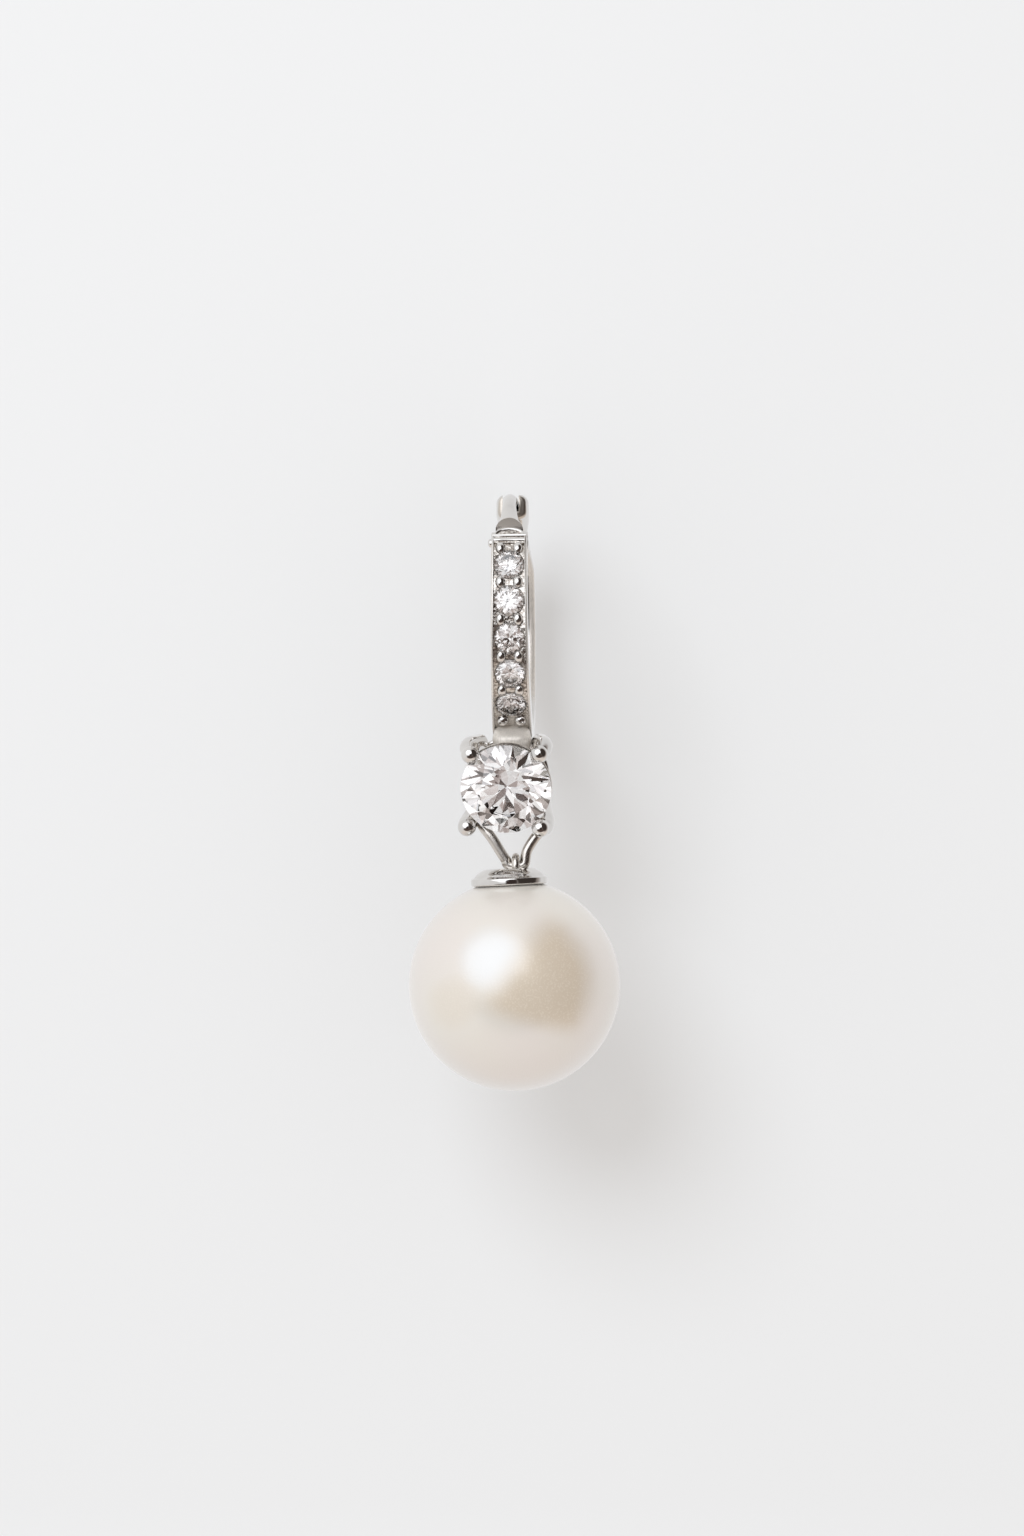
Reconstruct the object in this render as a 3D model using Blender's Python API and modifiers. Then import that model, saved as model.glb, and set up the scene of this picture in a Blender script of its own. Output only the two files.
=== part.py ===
"""Pearl hoop earring, in metres, +Z up, facing -Y.

A stone-set hoop with a hinged ear wire, a round stone in a four-prong basket under its front, and a
pearl that swings from a V of wire. The origin is the underside of the ear wire at the top of the
hoop, where the earring hangs from the ear.
"""

import math

import bmesh
import bpy
from mathutils import Matrix, Vector

MM = 0.001

# Hoop. Angles on it are in degrees from its front over its top, and negative below the front.
HOOP_OUTER_R = 6.05 * MM
BAR_DEPTH = 1.6 * MM
BAR_WIDTH = 1.86 * MM
EDGE_CHAMFER = 0.1 * MM
BAR_TOP_DEG = 40.0
BAR_FOOT_DEG = -63.0
CATCH_TOP_DEG = -264.0
HOOP_STEP_DEG = 6.0

# Sections of the hoop: degrees, then the outer and the inner face's distance inward from the outer
# radius, as shares of the bar's depth, then the width as a share of the bar's width.
HOOP_SECTIONS = (
    (46.0, 0.36, 0.96, 0.90),
    (BAR_TOP_DEG + 0.2, 0.36, 0.98, 0.90),
    (BAR_TOP_DEG, 0.00, 1.00, 0.90),
    (-25.0, 0.00, 0.95, 0.96),
    (BAR_FOOT_DEG, 0.00, 0.80, 1.00),
    (-90.0, 0.00, 0.66, 1.00),
    (-204.0, 0.00, 0.62, 0.98),
    (-216.0, 0.00, 0.66, 0.80),
    (-228.0, 0.02, 0.74, 0.62),
    (-233.0, 0.02, 0.78, 0.64),
    (-239.0, 0.00, 0.80, 0.74),
    (-245.0, 0.00, 0.80, 0.81),
    (-252.0, 0.00, 0.79, 0.82),
    (-258.0, 0.02, 0.77, 0.77),
    (-262.0, 0.09, 0.72, 0.68),
    (CATCH_TOP_DEG, 0.18, 0.67, 0.60),
)

# Stones of the bar, and the beads of metal between them.
BAR_STONES = 5
BAR_STONE_D = 1.48 * MM
FIRST_STONE_DEG = 25.0
STONE_PITCH_DEG = 17.3
STONE_CLEARANCE = 0.04 * MM
CHANNEL_DEPTH = 0.15 * MM
RIM = 0.1 * MM
END_RIM_DEG = 1.5
BEAD_R = 0.23 * MM
BEAD_SIDE = 0.42 * MM
RIB_R = 0.1 * MM

# Proportions of a round cut stone, as shares of its diameter.
TABLE_SHARE = 0.57
CROWN_SHARE = 0.15
GIRDLE_SHARE = 0.03
PAVILION_SHARE = 0.43
STONE_SIDES = 16

# Hinge of the ear wire at the top of the bar, and the tab that stops it.
PIN_R = 0.21 * MM
PIN_PROUD = 0.2 * MM
PIN_CLEARANCE = 0.05 * MM
PIN_INSET = 1.05 * MM
PIN_ORBIT = HOOP_OUTER_R - PIN_INSET
PIN_DEG = 45.2
BOSS_R = 0.52 * MM
KNUCKLE_R = 0.45 * MM
KNUCKLE_WIDTH = 0.9 * MM
HINGE_GAP = 0.06 * MM
TAB_THICKNESS = 0.27 * MM
TAB_WIDTH = 1.28 * MM
TAB_DEG = 41.0
TAB_SHOULDER = 0.06 * MM
TAB_ARCH = 0.34 * MM
TAB_ROOT = 0.5 * MM

# Ear wire and the fork that catches its tip.
WIRE_INSET = 0.43 * MM
WIRE_ORBIT = HOOP_OUTER_R - WIRE_INSET
WIRE_DEPTH = 0.7 * MM
WIRE_WIDTH = 0.74 * MM
WIRE_TIP_DEG = 118.0
WIRE_SIDES = 12
CATCH_GAP = 0.07 * MM
CATCH_END_DEG = 122.5
CATCH_MOUTH_DEG = 90.0

# Sections of the ear wire: degrees, how far its middle has risen from the pin's orbit to its own,
# then its depth and its width as shares of the wire's.
WIRE_SECTIONS = (
    (WIRE_TIP_DEG, 1.00, 0.45, 0.45),
    (WIRE_TIP_DEG - 1.5, 1.00, 0.80, 0.80),
    (WIRE_TIP_DEG - 4.0, 1.00, 0.95, 0.95),
    (110.0, 1.00, 1.00, 1.00),
    (76.0, 1.00, 1.00, 0.97),
    (68.0, 0.86, 1.00, 0.99),
    (60.0, 0.50, 0.98, 1.12),
    (56.0, 0.30, 0.96, 1.34),
    (53.0, 0.17, 0.94, 1.60),
    (52.2, 0.14, 0.93, 1.66),
    (51.8, 0.13, 0.92, 1.18),
    (46.5, 0.03, 0.90, 1.18),
)

# Large stone and its basket, which hangs a little turned to one side. Drops here and below are
# from the hoop's lowest level, and depths run from the stone's girdle back towards the hoop.
STONE_D = 4.3 * MM
STONE_DROP = 2.04 * MM
STONE_FORWARD = 4.1 * MM
STONE_TILT_DEG = 16.0
STONE_YAW_DEG = 3.5
SEAT_CLEARANCE = 0.05 * MM
FIRST_PRONG_DEG = 46.5
PRONG_R = 0.46 * MM
PRONG_TIP_R = 0.43 * MM
PRONG_ORBIT = 2.58 * MM
PRONG_TIP_ORBIT = 2.42 * MM
PRONG_FOOT_ORBIT = 2.1 * MM
PRONG_REACH = 0.24 * MM
GALLERY_R = 2.2 * MM
GALLERY_WALL = 0.3 * MM
GALLERY_HEIGHT = 0.8 * MM
GALLERY_DEPTH = 0.45 * MM
BASKET_DEPTH = 2.9 * MM
BASE_R = 2.15 * MM
BASE_WALL = 0.55 * MM
BASE_HEIGHT = 0.4 * MM

# Middle of a prong's shaft: its share of the way from the foot's orbit to its own, and its depth
# as a share of the basket's.
PRONG_ROUTE = (
    (0.00, 0.92),
    (0.25, 0.70),
    (0.85, 0.38),
    (1.00, 0.14),
)

# Collar between the foot of the bar and the basket: forward of the hoop's centre and below its
# lowest level, then half the depth and half the width.
COLLAR_SECTIONS = (
    (2.70 * MM, -1.20 * MM, 0.55 * MM, 0.88 * MM),
    (3.00 * MM, -0.70 * MM, 0.72 * MM, 1.00 * MM),
    (3.15 * MM, -0.30 * MM, 0.75 * MM, 1.10 * MM),
    (3.15 * MM, 0.15 * MM, 0.60 * MM, 0.95 * MM),
)

# V of wire under the basket: out from its middle, forward, then below the hoop's lowest level.
V_WIRE_R = 0.25 * MM
V_SIDE = 0.12 * MM
SWING_DROP = 5.7 * MM
SWING_FORWARD = 3.0 * MM
V_BEND = 0.27 * MM
V_HALF_WIDTH = 0.45 * MM
V_ROUTE = (
    (1.62 * MM, 2.70 * MM, 3.20 * MM),
    (1.56 * MM, 2.85 * MM, 3.62 * MM),
    (1.38 * MM, 2.95 * MM, 4.02 * MM),
    (1.08 * MM, 2.99 * MM, 4.45 * MM),
    (0.68 * MM, 3.00 * MM, 5.05 * MM),
)

# Drop: the cap with its eye and peg, and the pearl. Heights are below the swing axis.
EYE_GAP = 0.08 * MM
EYE_WIRE_R = 0.15 * MM
CAP_R = 1.79 * MM
CAP_CREST_R = 0.95 * MM
CAP_CREST_DROP = 0.05 * MM
CAP_FLOOR_R = 0.76 * MM
CAP_FLOOR_DROP = 0.31 * MM
CAP_RIM_DROP = 0.55 * MM
CAP_GAP = 0.07 * MM
PEARL_R = 5.0 * MM
PEARL_TOP_DROP = 0.65 * MM
PEARL_DROP = PEARL_TOP_DROP + PEARL_R
PEARL_SIDES = 16
PEG_R = 0.4 * MM
PEG_LENGTH = 3.0 * MM
HOLE_GAP = 0.08 * MM

# How finely round shapes are divided.
TURNED_SIDES = 24
ROD_SIDES = 16
BALL_SIDES = 12
BEAD_SIDES = 8
ARCH_STEPS = 10
BEND_STEPS = 3
ROUTE_STEPS = 3

HOOP_CENTRE_Z = -(WIRE_ORBIT - WIRE_DEPTH / 2)
HOOP_LOW_Z = HOOP_CENTRE_Z - HOOP_OUTER_R
SWING_AXIS = Vector((0.0, -SWING_FORWARD, HOOP_LOW_Z - SWING_DROP))


def clear_scene():
    """Removes the objects that the scene starts with."""
    for old in list(bpy.data.objects):
        bpy.data.objects.remove(old, do_unlink=True)


def new_collection(name, helper):
    """A collection of the scene. A helper collection isn't rendered."""
    made = bpy.data.collections.new(name)
    made.hide_render = helper
    bpy.context.scene.collection.children.link(made)
    return made


def metal(name, colour, roughness, metallic, transmission=0.0):
    """A Principled material with these values."""
    made = bpy.data.materials.new(name)
    made.use_nodes = True
    shader = made.node_tree.nodes["Principled BSDF"]
    shader.inputs["Base Color"].default_value = (*colour, 1.0)
    shader.inputs["Roughness"].default_value = roughness
    shader.inputs["Metallic"].default_value = metallic
    shader.inputs["Transmission Weight"].default_value = transmission
    return made


def hoop_point(radius, degrees, x=0.0):
    """The point of the hoop at this radius and angle, and this far to the side."""
    turn = math.radians(degrees)
    return Vector((x, -radius * math.cos(turn), HOOP_CENTRE_Z + radius * math.sin(turn)))


def hoop_frame_at(radius, degrees):
    """Axes at a point of the hoop: X to the side, Y on along the hoop and Z outward."""
    turn = math.radians(degrees)
    outward = Vector((0.0, -math.cos(turn), math.sin(turn)))
    along = Vector((0.0, math.sin(turn), math.cos(turn)))
    axes = Matrix((Vector((1.0, 0.0, 0.0)), along, outward)).transposed().to_4x4()
    return Matrix.Translation(hoop_point(radius, degrees)) @ axes


def section_at(table, degrees):
    """The values of a table of sections at this angle, read between its nearest rows."""
    for first, last in zip(table, table[1:]):
        if last[0] <= degrees <= first[0]:
            share = (first[0] - degrees) / (first[0] - last[0])
            return [a + (b - a) * share for a, b in zip(first[1:], last[1:])]
    raise ValueError(f"no section at {degrees} degrees")


def angles_of(table, start, end):
    """The angles from start down to end: even steps, and the table's own rows between them."""
    steps = math.ceil((start - end) / HOOP_STEP_DEG)
    even = [start + (end - start) * step / steps for step in range(steps + 1)]
    own = [row[0] for row in table if end < row[0] < start]
    near = HOOP_STEP_DEG / 3
    kept = [angle for angle in even[1:-1] if all(abs(angle - other) > near for other in own)]
    return sorted([start, end, *kept, *own], reverse=True)


def add_object(name, mesh, collection):
    """An object that holds the mesh, smooth where the faces meet at a small angle."""
    made = bpy.data.objects.new(name, mesh)
    collection.objects.link(made)
    if collection.hide_render:
        made.hide_render = True
        made.display_type = "WIRE"
    mesh.shade_smooth()
    mesh.set_sharp_from_angle(angle=math.radians(35))
    return made


def mesh_of(name, bm):
    """The mesh of this closed bmesh, with its faces turned out."""
    bmesh.ops.recalc_face_normals(bm, faces=bm.faces)
    if bm.calc_volume(signed=True) < 0:
        bmesh.ops.reverse_faces(bm, faces=bm.faces)
    mesh = bpy.data.meshes.new(name)
    bm.to_mesh(mesh)
    bm.free()
    return mesh


def loft(name, rings, collection):
    """A closed body through rings of equally many points."""
    bm = bmesh.new()
    loops = [[bm.verts.new(point) for point in ring] for ring in rings]
    for low, high in zip(loops, loops[1:]):
        for i, corner in enumerate(low):
            j = (i + 1) % len(low)
            bm.faces.new((corner, low[j], high[j], high[i]))
    bm.faces.new(loops[0])
    bm.faces.new(loops[-1])
    return add_object(name, mesh_of(name, bm), collection)


def chamfered(half_width, low, high):
    """Corners of a chamfered rectangle, as (side, height) pairs."""
    cut = min(EDGE_CHAMFER, half_width / 3, (high - low) / 3)
    right = (
        (half_width, low + cut),
        (half_width, high - cut),
        (half_width - cut, high),
    )
    left = [(-side, height) for side, height in reversed(right)]
    return [(half_width - cut, low), *right, *left, (-half_width + cut, low)]


def band(name, collection, start, end, size_at):
    """A chamfered band along the hoop. size_at gives (half width, inner, outer radius) at an angle."""
    rings = []
    for angle in angles_of(HOOP_SECTIONS, start, end):
        corners = chamfered(*size_at(angle))
        rings.append([hoop_point(radius, angle, side) for side, radius in corners])
    return loft(name, rings, collection)


def tube(name, points, radius, collection):
    """A round wire through these points, as a mesh with closed ends."""
    curve = bpy.data.curves.new(name, "CURVE")
    curve.dimensions = "3D"
    curve.bevel_depth = radius
    curve.bevel_resolution = 2
    curve.use_fill_caps = True
    spline = curve.splines.new("POLY")
    spline.points.add(len(points) - 1)
    for place, point in zip(spline.points, points):
        place.co = (*point, 1.0)
    return curve_to_mesh(name, curve, Matrix.Identity(4), collection)


def curve_to_mesh(name, curve, matrix, collection):
    """The closed mesh of a curve, placed by the matrix. The curve is removed."""
    guide = bpy.data.objects.new(name + "_guide", curve)
    collection.objects.link(guide)
    evaluated = guide.evaluated_get(bpy.context.evaluated_depsgraph_get())
    drawn = bpy.data.meshes.new_from_object(evaluated)
    bpy.data.objects.remove(guide, do_unlink=True)
    bpy.data.curves.remove(curve)
    bm = bmesh.new()
    bm.from_mesh(drawn)
    bpy.data.meshes.remove(drawn)
    bmesh.ops.remove_doubles(bm, verts=bm.verts, dist=MM / 1000)
    bm.transform(matrix)
    return add_object(name, mesh_of(name, bm), collection)


def smooth_route(points, steps):
    """Points on a smooth curve through the given points, this many to each stretch."""
    ends = [points[0], *points, points[-1]]
    route = []
    for a, b, c, d in zip(ends, ends[1:], ends[2:], ends[3:]):
        for step in range(steps):
            t = step / steps
            bend = 2 * b + (c - a) * t + (2 * a - 5 * b + 4 * c - d) * t**2
            route.append((bend + (3 * b - a - 3 * c + d) * t**3) / 2)
    return [*route, points[-1]]


def turned(name, profile, sides, matrix, collection):
    """A body turned about Z from a profile of (radius, height) that runs down its outer side."""
    mesh = bpy.data.meshes.new(name)
    points = [(radius, 0.0, height) for radius, height in profile]
    mesh.from_pydata(points, [(i, i + 1) for i in range(len(points) - 1)], [])
    made = bpy.data.objects.new(name, mesh)
    collection.objects.link(made)
    screw = made.modifiers.new("turn", "SCREW")
    screw.steps = sides
    screw.render_steps = sides
    screw.use_merge_vertices = True
    screw.merge_threshold = MM / 1000
    evaluated = made.evaluated_get(bpy.context.evaluated_depsgraph_get())
    solid = bpy.data.meshes.new_from_object(evaluated)
    bpy.data.objects.remove(made, do_unlink=True)
    bm = bmesh.new()
    bm.from_mesh(solid)
    bmesh.ops.remove_doubles(bm, verts=bm.verts, dist=MM / 1000)
    bm.transform(matrix)
    return add_object(name, mesh_of(name, bm), collection)


def ball(name, centre, radius, sides, collection):
    """A round ball, with its poles above and below."""
    bm = bmesh.new()
    bmesh.ops.create_uvsphere(bm, u_segments=sides, v_segments=sides * 3 // 4, radius=radius)
    bm.transform(Matrix.Translation(centre))
    return add_object(name, mesh_of(name, bm), collection)


def cross_rod(name, centre, radius, length, sides, collection):
    """A round rod across the earring, along X."""
    bm = bmesh.new()
    bmesh.ops.create_cone(
        bm, cap_ends=True, segments=sides, radius1=radius, radius2=radius, depth=length
    )
    bm.transform(Matrix.Translation(centre) @ Matrix.Rotation(math.radians(90), 4, "Y"))
    return add_object(name, mesh_of(name, bm), collection)


def block(name, size, matrix, collection):
    """A box of this size about the middle of the matrix's axes."""
    bm = bmesh.new()
    bmesh.ops.create_cube(bm, size=1.0)
    bm.transform(matrix @ Matrix.Diagonal((*size, 1.0)))
    return add_object(name, mesh_of(name, bm), collection)


def boolean(made, operation, collection, solver="EXACT"):
    """Joins the made object with every object of the collection, or cuts them from it."""
    modifier = made.modifiers.new(operation.lower(), "BOOLEAN")
    modifier.operation = operation
    modifier.solver = solver
    modifier.operand_type = "COLLECTION"
    modifier.collection = collection


def cut_stone(name, diameter, matrix, collection, material):
    """A round cut stone with its table up Z and its girdle at the middle of the matrix's axes."""
    radius = diameter / 2
    girdle = diameter * GIRDLE_SHARE / 2
    rows = (
        (radius * TABLE_SHARE, girdle + diameter * CROWN_SHARE, STONE_SIDES // 2),
        (radius, girdle, STONE_SIDES),
        (radius, -girdle, STONE_SIDES),
    )
    bm = bmesh.new()
    for ring_r, height, count in rows:
        for i in range(count):
            turn = 2 * math.pi * i / count
            bm.verts.new((ring_r * math.cos(turn), ring_r * math.sin(turn), height))
    bm.verts.new((0.0, 0.0, -girdle - diameter * PAVILION_SHARE))
    bmesh.ops.convex_hull(bm, input=bm.verts)
    bmesh.ops.dissolve_limit(
        bm, angle_limit=math.radians(1), verts=bm.verts, edges=bm.edges
    )
    bm.transform(matrix)
    made = add_object(name, mesh_of(name, bm), collection)
    made.data.shade_flat()
    made.data.materials.append(material)
    return made


def seat(name, diameter, clearance, matrix, collection):
    """The space that a stone needs in its setting, with the clearance all round."""
    radius = diameter / 2 + clearance
    girdle = diameter * GIRDLE_SHARE / 2 + clearance
    profile = (
        (0.0, girdle + diameter * CROWN_SHARE),
        (radius * TABLE_SHARE, girdle + diameter * CROWN_SHARE),
        (radius, girdle),
        (radius, -girdle),
        (0.0, -girdle - diameter * PAVILION_SHARE - clearance),
    )
    return turned(name, profile, STONE_SIDES, matrix, collection)


def stone_degrees():
    """The angles of the bar's stones on the hoop, from the top down."""
    return [FIRST_STONE_DEG - STONE_PITCH_DEG * i for i in range(BAR_STONES)]


def bar_half_width(degrees):
    """Half the hoop's width at this angle."""
    return BAR_WIDTH * section_at(HOOP_SECTIONS, degrees)[2] / 2


def basket_axes():
    """Axes at the middle of the large stone's girdle, with Z out through its table."""
    foot = Matrix.Translation((0.0, BASKET_DEPTH - STONE_FORWARD, HOOP_LOW_Z - STONE_DROP))
    yaw = Matrix.Rotation(math.radians(-STONE_YAW_DEG), 4, "Z")
    tilt = Matrix.Rotation(math.radians(90 + STONE_TILT_DEG), 4, "X")
    return foot @ yaw @ Matrix.Translation((0.0, -BASKET_DEPTH, 0.0)) @ tilt


def hoop_body(collection):
    """The hoop itself, from the hinge cheeks round the front, foot and back to the catch."""

    def size_at(degrees):
        outer, inner, width = section_at(HOOP_SECTIONS, degrees)
        low = HOOP_OUTER_R - BAR_DEPTH * inner
        return BAR_WIDTH * width / 2, low, HOOP_OUTER_R - BAR_DEPTH * outer

    return band("hoop_frame", collection, HOOP_SECTIONS[0][0], CATCH_TOP_DEG, size_at)


def hinge_cheeks(joined, cutters):
    """The boss, the arched tab and the slot that hold the ear wire's knuckle."""
    pin = hoop_point(PIN_ORBIT, PIN_DEG)
    width = 2 * bar_half_width(BAR_TOP_DEG)
    cross_rod("boss", pin, BOSS_R, width + RIM / 2, TURNED_SIDES, joined)
    cross_rod("pin_hole", pin, PIN_R + PIN_CLEARANCE, 2 * width, ROD_SIDES, cutters)
    rib = hoop_point(HOOP_OUTER_R - RIB_R / 4, BAR_TOP_DEG - END_RIM_DEG / 2)
    cross_rod("top_rib", rib, RIB_R, width - RIM / 2, BEAD_SIDES, joined)

    curve = bpy.data.curves.new("tab", "CURVE")
    curve.dimensions = "2D"
    curve.fill_mode = "BOTH"
    curve.extrude = TAB_THICKNESS / 2
    half = TAB_WIDTH / 2
    arch = [math.pi * i / ARCH_STEPS for i in range(ARCH_STEPS + 1)]
    outline = [(half * math.cos(t), TAB_SHOULDER + TAB_ARCH * math.sin(t)) for t in arch]
    outline += [(-half, -TAB_ROOT), (half, -TAB_ROOT)]
    spline = curve.splines.new("POLY")
    spline.points.add(len(outline) - 1)
    spline.use_cyclic_u = True
    for place, (side, up) in zip(spline.points, outline):
        place.co = (side, up, 0.0, 1.0)
    middle = hoop_frame_at(HOOP_OUTER_R - TAB_THICKNESS / 2, TAB_DEG)
    curve_to_mesh("tab", curve, middle, joined)

    slot_width = KNUCKLE_WIDTH + 2 * HINGE_GAP
    top = HOOP_OUTER_R - TAB_THICKNESS - PIN_ORBIT
    bottom = -BAR_DEPTH
    below = KNUCKLE_R + HINGE_GAP
    above = BAR_DEPTH
    size = (slot_width, above + below, top - bottom)
    shift = Matrix.Translation((0.0, (above - below) / 2, (top + bottom) / 2))
    block("hinge_slot", size, hoop_frame_at(PIN_ORBIT, PIN_DEG) @ shift, cutters)


def stone_channel(joined, cutters, parts, clear):
    """The recess, seats, stones and beads along the front of the bar."""

    def size_at(degrees):
        floor = HOOP_OUTER_R - CHANNEL_DEPTH
        return bar_half_width(degrees) - RIM, floor, HOOP_OUTER_R + BAR_DEPTH

    top = BAR_TOP_DEG - END_RIM_DEG
    band("channel", cutters, top, BAR_FOOT_DEG + END_RIM_DEG, size_at)
    girdle_r = HOOP_OUTER_R - CHANNEL_DEPTH
    beads = [FIRST_STONE_DEG + STONE_PITCH_DEG / 2]
    for number, degrees in enumerate(stone_degrees(), start=1):
        place = hoop_frame_at(girdle_r, degrees)
        name = f"bar_stone_{number}"
        cut_stone(name, BAR_STONE_D, place, parts, clear)
        seat(name + "_seat", BAR_STONE_D, STONE_CLEARANCE, place, cutters)
        beads.append(degrees - STONE_PITCH_DEG / 2)
    for row, degrees in enumerate(beads, start=1):
        for side in (-1, 1):
            centre = hoop_point(girdle_r, degrees, side * BEAD_SIDE)
            ball(f"bead_{row}_{side}", centre, BEAD_R, BEAD_SIDES, joined)


def catch_slot(cutters):
    """The slot at the top of the back half that takes the ear wire's tip."""

    def size_at(_degrees):
        floor = WIRE_ORBIT - WIRE_DEPTH / 2 - CATCH_GAP
        return WIRE_WIDTH / 2 + CATCH_GAP, floor, HOOP_OUTER_R + BAR_DEPTH

    start = CATCH_END_DEG - 360
    return band("catch_slot", cutters, start, CATCH_MOUTH_DEG - 360, size_at)


def basket(joined, cutters):
    """The gallery, base ring and prongs that hold the large stone."""
    axes = basket_axes()
    inner = GALLERY_R - GALLERY_WALL
    top = -GALLERY_DEPTH
    low = top - GALLERY_HEIGHT
    gallery = ((GALLERY_R, top), (GALLERY_R, low), (inner, low), (inner, top), (GALLERY_R, top))
    turned("gallery", gallery, TURNED_SIDES, axes, joined)
    top = BASE_HEIGHT - BASKET_DEPTH
    low = -BASKET_DEPTH
    inner = BASE_R - BASE_WALL
    base = ((BASE_R, top), (BASE_R, low), (inner, low), (inner, top), (BASE_R, top))
    turned("base_ring", base, TURNED_SIDES, axes, joined)
    lean = PRONG_ORBIT - PRONG_FOOT_ORBIT
    route = [(PRONG_FOOT_ORBIT + lean * way, -BASKET_DEPTH * deep) for way, deep in PRONG_ROUTE]
    route.append((PRONG_TIP_ORBIT, PRONG_REACH))
    first = math.radians(FIRST_PRONG_DEG)
    turns = (first, math.pi - first, math.pi + first, -first)
    for number, turn in enumerate(turns):
        outward = Vector((math.cos(turn), math.sin(turn), 0.0))
        points = [axes @ Vector((*(outward.xy * radius), height)) for radius, height in route]
        tube(f"prong_{number}", smooth_route(points, ROUTE_STEPS), PRONG_R, joined)
        ball(f"prong_tip_{number}", points[-1], PRONG_TIP_R, BALL_SIDES, joined)
    seat("stone_seat", STONE_D, SEAT_CLEARANCE, axes, cutters)


def collar(joined):
    """The collar between the foot of the bar and the basket."""
    rings = []
    for forward, below, half_depth, half_width in COLLAR_SECTIONS:
        corners = chamfered(half_width, -half_depth, half_depth)
        height = HOOP_LOW_Z - below
        rings.append([Vector((side, depth - forward, height)) for side, depth in corners])
    loft("collar", rings, joined)


def v_wire(joined):
    """The V of wire that hangs under the basket, with its round bend at the bottom."""
    shift = Vector((V_SIDE, 0.0, 0.0))
    right = [Vector((side, -ahead, HOOP_LOW_Z - below)) for side, ahead, below in V_ROUTE]
    bend_centre = SWING_AXIS + Vector((V_HALF_WIDTH - V_BEND, 0.0, V_BEND))
    for step in range(BEND_STEPS + 1):
        turn = math.pi / 2 * step / BEND_STEPS
        offset = Vector((math.cos(turn), 0.0, -math.sin(turn))) * V_BEND
        right.append(bend_centre + offset)
    split = len(V_ROUTE) + 1
    straight = smooth_route(right[:split], ROUTE_STEPS) + right[split:]
    left = [Vector((-point.x, point.y, point.z)) for point in reversed(straight)]
    tube("v_wire", [point + shift for point in straight + left], V_WIRE_R, joined)


def make_hoop(parts, silver, clear):
    """The hoop with everything that is soldered to it, its hinge pin and its stones."""
    joined = new_collection("hoop_frame_joined", True)
    beads = new_collection("hoop_frame_beads", True)
    cutters = new_collection("hoop_frame_cutters", True)
    frame = hoop_body(parts)
    frame.data.materials.append(silver)
    hinge_cheeks(joined, cutters)
    stone_channel(beads, cutters, parts, clear)
    catch_slot(cutters)
    basket(joined, cutters)
    collar(joined)
    v_wire(joined)
    boolean(frame, "UNION", joined)
    boolean(frame, "DIFFERENCE", cutters)
    boolean(frame, "UNION", beads, solver="MANIFOLD")
    cut_stone("centre_stone", STONE_D, basket_axes(), parts, clear)

    length = 2 * (bar_half_width(BAR_TOP_DEG) + PIN_PROUD)
    pin_place = hoop_point(PIN_ORBIT, PIN_DEG)
    pin = cross_rod("hinge_pin", pin_place, PIN_R, length, ROD_SIDES, parts)
    rounding = pin.modifiers.new("round_ends", "BEVEL")
    rounding.width = PIN_R / 3
    rounding.segments = 2
    rounding.limit_method = "ANGLE"
    rounding.angle_limit = math.radians(50)
    pin.data.materials.append(silver)


def make_ear_wire(parts, silver):
    """The hinged ear wire: its knuckle, its flared neck and its round wire."""
    joined = new_collection("ear_wire_joined", True)
    cutters = new_collection("ear_wire_cutters", True)
    pin = hoop_point(PIN_ORBIT, PIN_DEG)
    rings = []
    for degrees in angles_of(WIRE_SECTIONS, WIRE_TIP_DEG, WIRE_SECTIONS[-1][0]):
        rise, depth, width = section_at(WIRE_SECTIONS, degrees)
        middle = PIN_ORBIT + (WIRE_ORBIT - PIN_ORBIT) * rise
        ring = []
        for side in range(WIRE_SIDES):
            turn = 2 * math.pi * side / WIRE_SIDES
            radius = middle + math.sin(turn) * WIRE_DEPTH * depth / 2
            ring.append(hoop_point(radius, degrees, math.cos(turn) * WIRE_WIDTH * width / 2))
        rings.append(ring)
    wire = loft("ear_wire", rings, parts)
    wire.data.materials.append(silver)
    cross_rod("knuckle", pin, KNUCKLE_R, KNUCKLE_WIDTH, TURNED_SIDES, joined)
    bore = 2 * (KNUCKLE_WIDTH + HINGE_GAP)
    cross_rod("bore", pin, PIN_R + PIN_CLEARANCE, bore, ROD_SIDES, cutters)
    boolean(wire, "UNION", joined)
    boolean(wire, "DIFFERENCE", cutters)
    hang_on_axis([wire], "ear_wire_axis", pin)


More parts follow.
